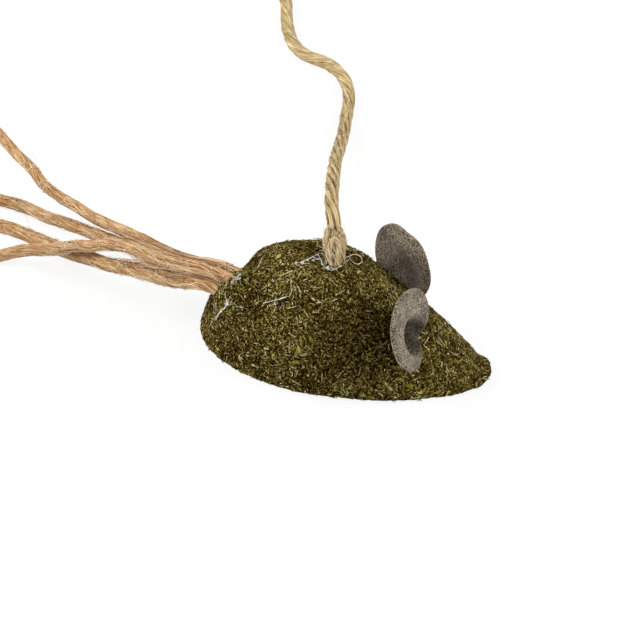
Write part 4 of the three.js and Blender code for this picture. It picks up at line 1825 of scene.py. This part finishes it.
# The heading in degrees, the bulge and the thickness of the knot's plies.
KNOT_LOBES_MM = ((2, 1.35, 1.6), (178, 1.35, 1.6), (80, 0.2, 0.9), (240, 0.8, 1.6), (300, 0.8, 1.6))
# The wrapped ply's place to the side, as a share of the knot's height, and to the front.
KNOT_LOOP_MM = (
    (-0.8, 0.08, 0.8), (-1.2, 0.35, 1.5), (-0.95, 0.62, 1.9), (-0.1, 0.86, 2.0),
    (0.75, 0.74, 1.9), (0.9, 0.52, 1.8), (0.5, 0.28, 1.6), (0.25, 0.05, 0.9),
)


@dataclass
class BackKnot:
    """The knot on the mouse's back: plies that bulge and draw together again, with one wrapped across."""

    cord: Cord
    core: float = 1.3 * MM
    ply: float = 1.05 * MM
    foot_depth: float = 1.2 * MM
    head_reach: float = 2.2 * MM
    hair_radius: float = 2.1 * MM
    hairs: int = 150

    def build(self, palette: Palette) -> None:
        """Makes the knot.

        Args:
            palette: The finishes.
        """
        rng = np.random.default_rng(17)
        cord = self.cord
        axis = cord.knot_axis
        side = unit(np.cross(axis, np.array([0.06, -0.78, 0.62])))
        front = np.cross(side, axis)
        foot = cord.exit - axis * self.foot_depth
        soup, laid, stray = Soup(), Soup(), Soup()
        share = np.linspace(0, 1, 24)
        core = foot + share[:, None] * (cord.knot_length + self.head_reach) * axis
        inner = Twine(self.core, plies=3, lay_length=14 * MM, groove=0.2, sides=18, step=0.4 * MM)
        soup.add(*inner.spin(core, 1.1))
        for index, (heading, bulge, ply) in enumerate(KNOT_LOBES_MM):
            lobe = Twine(ply * MM, plies=4, lay_length=11 * MM, groove=0.3, step=0.4 * MM, unevenness=0.16)
            angle = math.radians(heading) + 0.4 * (share - 0.4)
            out = (0.1 + 0.4 * share) * MM + bulge * MM * np.sin(math.pi * share**1.2)
            line = core + out[:, None] * around(angle, side, front)
            soup.add(*lobe.spin(line, 2.0 + index))
            laid.join(lobe.fibres(line, 60, (2, 6), (0.03, 0.06), rng, 1.3, 0.25))
        band = Twine(self.ply, plies=3, lay_length=7 * MM, groove=0.25, sides=18, step=0.3 * MM)
        sideways, height, ahead = (np.array(KNOT_LOOP_MM)[:, [i]] for i in range(3))
        loop = foot + sideways * MM * side + height * cord.knot_length * axis + ahead * MM * front
        loop = centripetal(loop, 6)
        soup.add(*band.spin(loop, 7.3))
        stray.join(band.fibres(loop, 90, (1.5, 4.5), (0.03, 0.05), rng, 1.1, 0.25))
        fuzz(stray, core[2:-1], self.hair_radius, self.hairs, (1.5, 4), (0.02, 0.2), rng, thick=(0.04, 0.07))
        for piece, nodes in (
            (soup.build("back_knot", palette.knot, with_lay=True), ("cord_knot",)),
            (laid.build("knot_fibres", palette.cord_fibre), ()),
            (stray.build("knot_hairs", palette.hair), ()),
        ):
            dress(piece, nodes, Body.MOUSE)


@dataclass(frozen=True)
class Strand:
    """One strand of the tail: its place in the bundle and its route from the mouth of the hole."""

    side: int
    rise: int
    thick: float
    root_swell: float
    route_mm: tuple[Triple, ...]


TAIL_STRANDS = (
    Strand(1, 1, 2.3 * MM, -0.2, (
        (-7.4, 4.1, 0.0), (-12, 6.2, -1.1), (-23, 13, -2.9), (-32, 19, -5.1), (-37.5, 24, -6.7),
        (-42, 28.3, -8.2), (-47, 34, -10), (-52, 41.5, -11.5), (-58, 48.5, -12.5), (-63, 54.5, -13),
        (-68, 60, -13),
    )),
    Strand(1, -1, 2.6 * MM, 0.25, (
        (-11.5, 7.5, -4), (-17.5, 9.8, -4.8), (-23, 12.5, -5.8), (-29, 16, -7.6), (-32.5, 17.8, -8.2),
        (-38.5, 21.5, -9.8), (-44.5, 25, -11.5), (-50.5, 28.5, -12.5), (-56, 30, -13), (-64, 31.5, -13),
    )),
    Strand(-1, -1, 2.9 * MM, 0.3, (
        (-12.5, 1.5, -3.9), (-18, 3.4, -4.9), (-22.5, 5.2, -6), (-27, 7, -7.3), (-31, 9.5, -8.6),
        (-34, 11, -9.5), (-38.5, 14, -11), (-42.5, 16.5, -12), (-48, 19.5, -13), (-53.5, 20.8, -13),
        (-61, 21.5, -13),
    )),
    Strand(-1, 1, 2.5 * MM, 0.05, (
        (-11, 1, 0.5), (-16.5, 3.5, -0.5), (-22, 6.5, -1.5), (-27.5, 8, -3), (-30.5, 8.5, -4.5),
        (-34, 9, -5.5), (-37.5, 9.5, -7.5), (-41, 10, -9), (-44.5, 11, -10.5), (-48, 11, -12),
        (-51, 10, -13), (-58, 7.5, -13),
    )),
)


@dataclass(frozen=True)
class Link:
    """Fibres that hold two strands together near the rump."""

    strand: int
    other: int
    fibres: int
    length: float


TAIL_LINKS = (
    Link(1, 4, 150, 34 * MM),
    Link(4, 1, 80, 30 * MM),
    Link(1, 2, 70, 30 * MM),
    Link(2, 4, 70, 28 * MM),
    Link(3, 4, 200, 24 * MM),
    Link(4, 3, 120, 24 * MM),
    Link(3, 2, 50, 22 * MM),
)
ROOT_WISP_MM = ((1.5, 1.0, 1.9), (-1.5, 1.7, 2.2), (-4.5, 2.4, 1.7), (-8.0, 3.6, 0.6), (-12.0, 5.6, -0.6))


@dataclass
class Tail:
    """Loose jute strands glued into a hole in the rump."""

    form: BodyForm
    y: float = -1.8 * MM
    z: float = 14.4 * MM
    yaw: float = math.radians(17)
    hole_depth: float = 8 * MM
    diameter: float = 2.6 * MM
    gap: float = 0.5 * MM
    straight: float = 3.5 * MM
    clearance: float = 0.3 * MM
    exit_sample: int = 8
    bend_length: float = 16 * MM
    fibres: int = 240
    cross_fibres: int = 110
    hairs: int = 16
    wisp_fibres: int = 70
    wisp_radius: float = 0.75 * MM
    web_reach: float = 2.6 * MM
    web_rise: float = 1.3 * MM
    tangles: int = 28
    tangle_ends: tuple[int, int] = (10, 34)
    tangle_spread: float = 5.0
    tangle_gap: float = 5 * MM

    @property
    def axis(self) -> Array:
        """The way that the tail leaves the rump."""
        return np.array([-math.cos(self.yaw), math.sin(self.yaw), 0])

    @property
    def mouth(self) -> Array:
        """The middle of the hole's mouth."""
        rear, front = -self.form.length / 2, self.form.highest_x
        for _ in range(40):
            middle = (rear + front) / 2
            low = self.form.top(middle, self.y)[2] < self.z
            rear, front = (middle, front) if low else (rear, middle)
        return self.form.top(front, self.y)

    def line(self, strand: Strand) -> Array:
        """Joins a strand's end in the hole with its route.

        Args:
            strand: The strand.

        Returns:
            Its points.
        """
        offset = (self.diameter + self.gap) / 2
        middle = self.mouth + offset * (strand.side * np.cross(self.axis, UP) + strand.rise * UP)
        inside = [middle + self.axis * d for d in (self.clearance - self.hole_depth, 0.0, self.straight)]
        outside = lifted(self.mouth + np.array(strand.route_mm) * MM, self.diameter / 2)
        return centripetal(np.vstack([inside, outside]), 12)

    def bridge(self, soup: Soup, line: Array, other: Array, link: Link, rng: Chance) -> None:
        """Fills the gap between two strands, where they leave the rump together.

        Args:
            soup: Where the fibres are added.
            line: The strand that they belong to.
            other: Its neighbour.
            link: How closely the two hang together.
            rng: The chance to use.
        """
        for _ in range(link.fibres):
            start = rng.integers(4, 14)
            end = start + int(rng.uniform(0.4, 1.0) * link.length / MM)
            at = np.arange(start, min(end, len(line), len(other)))
            share = np.linspace(0, 1, len(at))
            between = rng.uniform(0.05, 0.9) + rng.normal(0, 0.12) * np.sin(4 * share)
            apart = other[at] - line[at]
            far = np.maximum(np.linalg.norm(apart, axis=1), 1e-6)
            between = np.minimum(between * (1 - 0.7 * share**2), self.web_reach / far)
            shift, drift = np.clip(rng.normal(size=(2, 3)), -1.2, 1.2)
            wander = 0.5 * MM * shift + 0.35 * MM * drift * share[:, None]
            wander = wander + self.web_rise * rng.random() * np.sin(math.pi * share)[:, None] * UPPER_FRONT
            strand = line[at] + between[:, None] * apart + wander
            soup.add(*hair(strand, rng.uniform(0.06, 0.15) * MM))

    def wisp(self, soup: Soup, rng: Chance) -> None:
        """Lays a loose wisp on top of the strands, where they leave the rump.

        Args:
            soup: Where its fibres are added.
            rng: The chance to use.
        """
        line = centripetal(self.mouth + np.array(ROOT_WISP_MM) * MM, 4)
        across, over = transport(line)
        for _ in range(self.wisp_fibres):
            turn, far = rng.uniform(0, FULL_TURN), self.wisp_radius * math.sqrt(rng.random())
            fibre = line + far * around(turn, across, over)
            first, last = rng.integers(0, 4), rng.integers(9, len(line) + 1)
            soup.add(*hair(fibre[first:last] + rng.normal(0, 0.1 * MM, 3), rng.uniform(0.08, 0.15) * MM))

    def tangle(self, soup: Soup, own: int, lines: Sequence[Array], rng: Chance) -> None:
        """Lays single fibres that cross from strand to strand.

        Args:
            soup: Where they are added.
            own: The strand that they start on.
            lines: The lines of all strands.
            rng: The chance to use.
        """
        for _ in range(self.tangles):
            middle = rng.integers(*self.tangle_ends)
            spots = [lines[own][middle]]
            for other in rng.permutation(len(lines)):
                at = int(np.clip(middle + rng.normal(0, self.tangle_spread), 6, len(lines[other]) - 2))
                if np.linalg.norm(lines[other][at] - spots[0]) < self.tangle_gap:
                    spots.append(lines[other][at])
            if len(spots) < 3:
                continue
            rise = UPPER_FRONT * self.diameter * rng.uniform(0.42, 0.6)
            curve = centripetal(np.array(spots) + rise + rng.normal(0, 0.3 * MM, (len(spots), 3)), 6)
            soup.add(*hair(curve, rng.uniform(0.045, 0.075) * MM))

    def build(self, palette: Palette) -> None:
        """Makes the strands and their stray fibres.

        Args:
            palette: The finishes.
        """
        rng = np.random.default_rng(29)
        bend = self.mouth + self.axis * self.bend_length
        lines = [resample(self.line(strand), 1 * MM) for strand in TAIL_STRANDS]
        for number, (strand, line) in enumerate(zip(TAIL_STRANDS, lines), start=1):
            twine = Twine(
                strand.thick,
                plies=5,
                lay_length=60 * MM,
                groove=0.13,
                lay=Lay.Z,
                sides=26,
                step=0.7 * MM,
                unevenness=0.11,
                root_swell=strand.root_swell,
            )
            verts, faces, lay = twine.spin(line, 10.0 * number)
            piece = make_object(f"jute_strand_{number}", lifted(verts), faces, palette.tail, lay)
            laid = twine.fibres(line, self.fibres, (6, 22), (0.05, 0.13), rng, 0.8, 0.2)
            for link in TAIL_LINKS:
                if link.strand == number:
                    self.bridge(laid, line, lines[link.other - 1], link, rng)
            stray = twine.fibres(line[10:], self.cross_fibres, (2.5, 7), (0.04, 0.07), rng, 2.0, 0.5)
            fuzz(stray, line[12:], strand.thick / 2, self.hairs, (3, 7), (0.0, 0.05), rng, upper=True)
            self.tangle(stray, number - 1, lines, rng)
            if number == 1:
                self.wisp(laid, rng)
            for made, nodes in (
                (piece, (f"tail_strand_{number}",)),
                (laid.build(f"strand_fibres_{number}", palette.tail_fibre), ()),
                (stray.build(f"strand_hairs_{number}", palette.hair), ()),
            ):
                self.mouth
                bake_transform(made)
                dress(made, nodes)


# Strings of glue, each with its radius and the places that it runs over.
BACK_THREADS_MM = (
    (0.08, ((-11.3, -3.7), (-10.2, -2.9), (-9.1, -1.8), (-8.2, -0.7), (-7.5, -0.1), (-7.0, -0.7))),
    (0.07, ((-8.3, -2.4), (-7.3, -2.4), (-6.8, -3.3), (-5.9, -4.0), (-4.7, -4.5))),
    (0.06, ((-8.2, -0.8), (-7.6, -1.7), (-7.0, -2.6))),
    (0.1, ((-5.7, -4.0), (-4.9, -2.8), (-4.2, -2.1))),
    (0.08, ((-5.1, -4.1), (-4.4, -3.1))),
    (0.07, ((-12.4, -3.6), (-11.3, -3.7), (-10.6, -4.2))),
    (0.06, ((-11.6, -4.6), (-10.6, -3.3), (-9.7, -2.9))),
    (0.06, ((-9.1, -1.8), (-8.0, -2.1), (-6.9, -1.9))),
    (0.07, ((-6.2, -4.6), (-5.4, -3.4), (-4.9, -2.4))),
    (0.06, ((-4.2, -4.3), (-3.4, -3.0), (-2.6, -2.4))),
    (0.08, ((-4.7, -4.5), (-3.9, -3.9), (-3.0, -2.6), (-2.3, -1.1), (-1.8, 0.1))),
    (0.1, ((-15.6, -10.6), (-13.9, -10.5), (-12.4, -10.2))),
    (0.06, ((-17.1, -10.6), (-15.6, -10.6))),
    (0.06, ((-12.4, -10.2), (-12.0, -10.2), (-11.7, -9.5), (-11.8, -8.8), (-12.2, -8.1), (-12.2, -7.5))),
    (0.06, ((-14.5, -11.2), (-15.1, -10.5))),
    (0.06, ((-13.5, -11.8), (-13.0, -11.3))),
    (0.05, ((14.8, -3.3), (15.5, -3.3), (16.0, -1.6))),
    (0.05, ((15.1, -4.3), (15.6, -4.2), (16.3, -3.9))),
)
RUMP_THREADS_MM = (
    (0.2, ((-24.3, -8.0), (-25.0, -8.2), (-26.0, -8.0), (-26.8, -8.0))),
    (0.1, ((-25.0, -7.5), (-23.8, -8.5))),
    (0.07, ((-24.6, -6.3), (-24.6, -7.0), (-24.3, -8.3))),
    (0.07, ((-23.9, -7.3), (-24.3, -8.0))),
    (0.07, ((-25.5, -5.4), (-25.5, -5.8), (-25.6, -6.6))),
    (0.07, ((-26.5, -6.4), (-26.7, -6.9), (-26.8, -7.4))),
    (0.04, ((-23.0, -9.1), (-21.5, -9.8), (-20.0, -10.6))),
)
# A loose fibre that lies on the back like the strings of glue.
LOOSE_THREAD_MM = (
    (0.09, (
        (-3.6, -1.6), (-3.2, -0.4), (-2.4, 0.7), (-1.8, 1.6), (-1.2, 2.9), (-0.5, 3.6), (0.3, 3.5),
        (0.7, 2.5), (0.5, 1.0), (0.0, 0.2), (-0.6, 0.0), (-1.3, 0.3), (-1.8, 1.0),
    )),
)
# The x, y and radius of thin films of glue on the back and on the rump.
FILMS_MM = (
    (-7.5, -1.9, 0.5), (-6.7, -3.2, 0.4), (-5.5, -4.1, 0.45), (-4.4, -4.0, 0.4), (-8.8, -2.6, 0.4),
    (-10.8, -3.7, 0.4), (-11.9, -3.9, 0.35), (-23.0, -4.9, 0.6), (-23.5, -5.3, 0.5), (-22.8, -4.1, 0.5),
    (-23.4, -4.5, 0.4), (-22.6, -5.0, 0.4), (-26.7, -7.9, 0.5), (-24.4, -7.8, 0.6),
)


@dataclass
class GlueWork:
    """Films, strings and drops of glue at the knot and at the tail's root."""

    mouse: Mouse
    tail: Tail
    above: float = 0.2 * MM
    film_above: float = 0.15 * MM
    flatness: float = 0.16
    root_reach: float = 3.2 * MM

    def threads(self, strings: Sequence[tuple[float, Sequence[Pair]]]) -> Soup:
        """Makes strings of glue that lie on the mouse.

        Args:
            strings: The radius of each and where it runs, in millimetres.

        Returns:
            The strings.
        """
        soup = Soup()
        for thick, places in strings:
            radius = thick * MM
            curve = centripetal(np.column_stack([np.array(places) * MM, np.zeros(len(places))]), 8)
            line = self.mouse.swollen(self.mouse.form.top(curve[:, 0], curve[:, 1])) + UP * self.above
            swell = np.maximum(0.85 + 0.9 * rough(line, 0.8 * MM, radius * 1e4), 0.25)
            soup.add(*tube(line, radius * swell, 7))
        return soup

    def drop(self, centre: Array, normal: Array, radius: float, seed: float) -> Shape:
        """Makes one low drop of glue.

        Args:
            centre: Where it sits.
            normal: The surface's normal there.
            radius: Its radius.
            seed: Makes its outline its own.

        Returns:
            The vertices and the faces.
        """
        side = unit(np.cross(normal, np.array([0.3, 0.9, 0.1])))
        swing = np.linspace(-math.pi / 2, math.pi / 2, 11)[1:-1]
        angle = round_angles(18)
        outline = 1 + 0.35 * rough(around(angle, X_AXIS, Y_AXIS), 0.9, seed)
        ring = outline[:, None] * around(angle, side, np.cross(normal, side))
        wide, high = radius * np.cos(swing), self.flatness * radius * np.sin(swing)
        return loft(centre + wide[:, None, None] * ring + high[:, None, None] * normal)

    def build(self, palette: Palette) -> None:
        """Makes all the glue that shows.

        Args:
            palette: The finishes.
        """
        films = Soup()
        for index, (x, y, radius) in enumerate(np.array(FILMS_MM) * MM):
            spot = self.mouse.swollen(self.mouse.form.top(x, y))
            normal = self.mouse.form.normal(x, y)
            films.add(*self.drop(spot + normal * self.film_above, normal, radius, 3.3 * index))
        mouth, axis = self.tail.mouth, self.tail.axis
        sideways = np.cross(axis, UP)
        for index, heading in enumerate(range(12, 372, 40)):
            out = around(math.radians(heading), sideways, UP)
            normal = unit(0.7 * axis + 0.5 * out + 0.2 * UP)
            radius = (0.6 + 0.25 * math.sin(2.7 * index)) * MM
            films.add(*self.drop(mouth + self.root_reach * out, normal, radius, 40 + index))
        for name, soup, material, slot, nodes in (
            ("back_glue", self.threads(BACK_THREADS_MM), palette.glue, Slot.GLUE, ("cord_glue",)),
            ("rump_glue", self.threads(RUMP_THREADS_MM), palette.glue, Slot.GLUE, ("tail_glue",)),
            ("glue_films", films, palette.glue_film, Slot.GLUE, ()),
            ("loose_thread", self.threads(LOOSE_THREAD_MM), palette.hair, Slot.CORD, ()),
        ):
            dress(soup.build(name, material), nodes, Body.MOUSE)


@dataclass
class Stick:
    """The wooden stick, with the cord's hole near its tip and the stopper knot behind it."""

    cord: Cord
    length: float = 240 * MM
    hole_inset: float = 10 * MM
    tip_radius: float = 2.5 * MM
    butt_chamfer: float = 0.6 * MM
    sides: int = 72
    hole_sides: int = 40
    knot_length: float = 6.5 * MM
    end_length: float = 9 * MM
    fray: int = 70

    def profile(self) -> Array:
        """Gives the stick's radius along its length, from the butt.

        Returns:
            Pairs of place and radius.
        """
        radius, tip, edge = self.cord.stick_diameter / 2, self.tip_radius, self.butt_chamfer
        bend = np.linspace(0, math.pi / 2, 9)
        sin, cos = np.sin(bend), np.cos(bend)
        butt = np.column_stack([edge * (1 - cos[::2]), radius - edge * (1 - sin[::2])])
        along = np.linspace(self.length * 0.02, self.length * 0.97, 60)
        shaft = np.column_stack([along, np.full(60, radius)])
        rounded = np.column_stack([self.length - tip + tip * sin, radius - tip + tip * cos])
        return np.vstack([(0, radius * 0.5), butt, shaft, rounded, (self.length, radius * 0.3)])

    def build(self, palette: Palette, cord_end: Array) -> tuple[Object, ...]:
        """Makes the stick and what lies behind it.

        Args:
            palette: The finishes.
            cord_end: Where the cord comes out of the stick.

        Returns:
            The pieces on the cord.
        """
        place, radius = self.profile().T
        butt_x = cord_end[0] - self.hole_inset + self.length
        middle = np.array([butt_x, self.cord.stick_y, self.cord.stick_diameter / 2])
        uneven = radius * (1 + 0.004 * np.sin(9 * place / (40 * MM)))
        ring = around(round_angles(self.sides), -Y_AXIS, UP)
        verts, faces = loft((middle - place[:, None] * X_AXIS)[:, None] + uneven[:, None, None] * ring)
        stick = make_object("wooden_stick", verts, faces, palette.wood)
        self._drill(stick, cord_end)
        dress(stick, ("wand_stick",), Body.WAND)
        return self._stopper(palette, cord_end)

    def _drill(self, stick: Object, cord_end: Array) -> None:
        """Cuts the cord's hole.

        Args:
            stick: The stick.
            cord_end: Where the cord comes out of it.
        """
        radius, reach = self.cord.radius + self.cord.clearance, self.cord.stick_diameter
        ring = radius * around(round_angles(self.hole_sides), -X_AXIS, -UP)
        verts, faces = loft(np.array([cord_end + y * Y_AXIS + ring for y in (-2 * reach, reach)]))
        drill = make_object("drill", verts, faces, stick.data.materials[0])
        cut = stick.modifiers.new("hole", "BOOLEAN")
        cut.operation = "DIFFERENCE"
        cut.solver = "EXACT"
        cut.object = drill
        shape = bpy.context.evaluated_depsgraph_get()
        drilled = bpy.data.meshes.new_from_object(stick.evaluated_get(shape))
        stick.modifiers.clear()
        stick.data = drilled
        stick.data.shade_smooth()
        stick.data.set_sharp_from_angle(angle=math.radians(40))
        bpy.data.objects.remove(drill)

    def _stopper(self, palette: Palette, cord_end: Array) -> tuple[Object, ...]:
        """Ties the stopper knot and leaves the cord's end past it.

        Args:
            palette: The finishes.
            cord_end: Where the cord comes out of the stick.

        Returns:
            The knot, the end and its fray.
        """
        rng = np.random.default_rng(61)
        half, gap = self.knot_length / 2, self.cord.clearance
        middle = cord_end + (half + gap) * Y_AXIS
        swing = np.linspace(0.42, FULL_TURN - 0.42, 160)
        across = np.sin(swing) + 2 * np.sin(2 * swing)
        upward = np.cos(swing) - 2 * np.cos(2 * swing)
        loops = np.column_stack([0.92 * across, -1.5 * np.sin(3 * swing), 0.92 * upward]) * MM
        core = np.outer([-half - gap, 0, half], Y_AXIS)
        soup = Soup()
        for line, thick, lay_length, seed in ((loops, 2.2, 9, 8.8), (core, 2.6, 11, 9.1)):
            twine = Twine(
                thick * MM, plies=3, lay_length=lay_length * MM, groove=0.2, sides=18, step=0.4 * MM
            )
            soup.add(*twine.spin(middle + line, seed))
        knot = soup.build("stopper_knot", palette.cord, with_lay=True)
        share = np.linspace(0, 1, 10)[:, None]
        sag = share**2 * np.array([1.2, 0, -1.6]) * MM
        tail = middle + half * Y_AXIS + share * self.end_length * Y_AXIS + sag
        twine = Twine(self.cord.diameter, plies=3, lay_length=12.5 * MM, groove=0.24, step=0.5 * MM)
        verts, faces, lay = twine.spin(tail, 3.6)
        end = make_object("cord_cut_end", verts, faces, palette.cord, lay)
        brush = Soup()
        for _ in range(self.fray):
            out = around(rng.uniform(0, FULL_TURN), X_AXIS, UP)
            root = tail[-1] + rng.uniform(0, 0.9) * self.cord.radius * out
            heading = unit(0.25 * out + Y_AXIS + 0.2 * rng.normal(size=3))
            strand = root + np.linspace(-0.5, 1, 5)[:, None] * heading * rng.uniform(1.0, 2.6) * MM
            brush.add(*hair(lifted(strand, FLOOR_GAP), rng.uniform(0.03, 0.06) * MM))
        frayed = brush.build("cord_end_fray", palette.hair)
        for piece, nodes in ((knot, ("wand_knot",)), (end, ("cord_end",)), (frayed, ())):
            dress(piece, nodes, Body.CORD)
        return knot, end, frayed


def dress_hidden(frame: dict, palette: Palette) -> None:
    """Gives the solids inside the mouse their finishes.

    Args:
        frame: The loaded frame.
        palette: The finishes.
    """
    for node, material in (
        ("cord_anchor", palette.cord),
        ("ear_glue_left", palette.glue),
        ("ear_glue_right", palette.glue),
    ):
        data = frame["nodes"][node].data
        data.materials.clear()
        data.materials.append(material)


def main() -> None:
    """Builds the studio and the toy, in order."""
    logging.basicConfig(level=logging.INFO, format="%(name)s: %(message)s")
    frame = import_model()
    PhotoCamera().build()
    palette = Palette()
    form = BodyForm()
    cord = Cord(form)
    twine, tie, line = cord.build(palette)
    tail = Tail(form)
    tail.build(palette)
    Studio().build()
    mouse = Mouse(form)
    mouse.build(palette)
    for ear in EARS:
        ear.build(form, palette)
    BackKnot(cord).build(palette)
    GlueWork(mouse, tail).build(palette)
    cord.declare((tie, *Stick(cord).build(palette, line[-1])))
    dress_hidden(frame, palette)


if __name__ == "__main__":
    main()
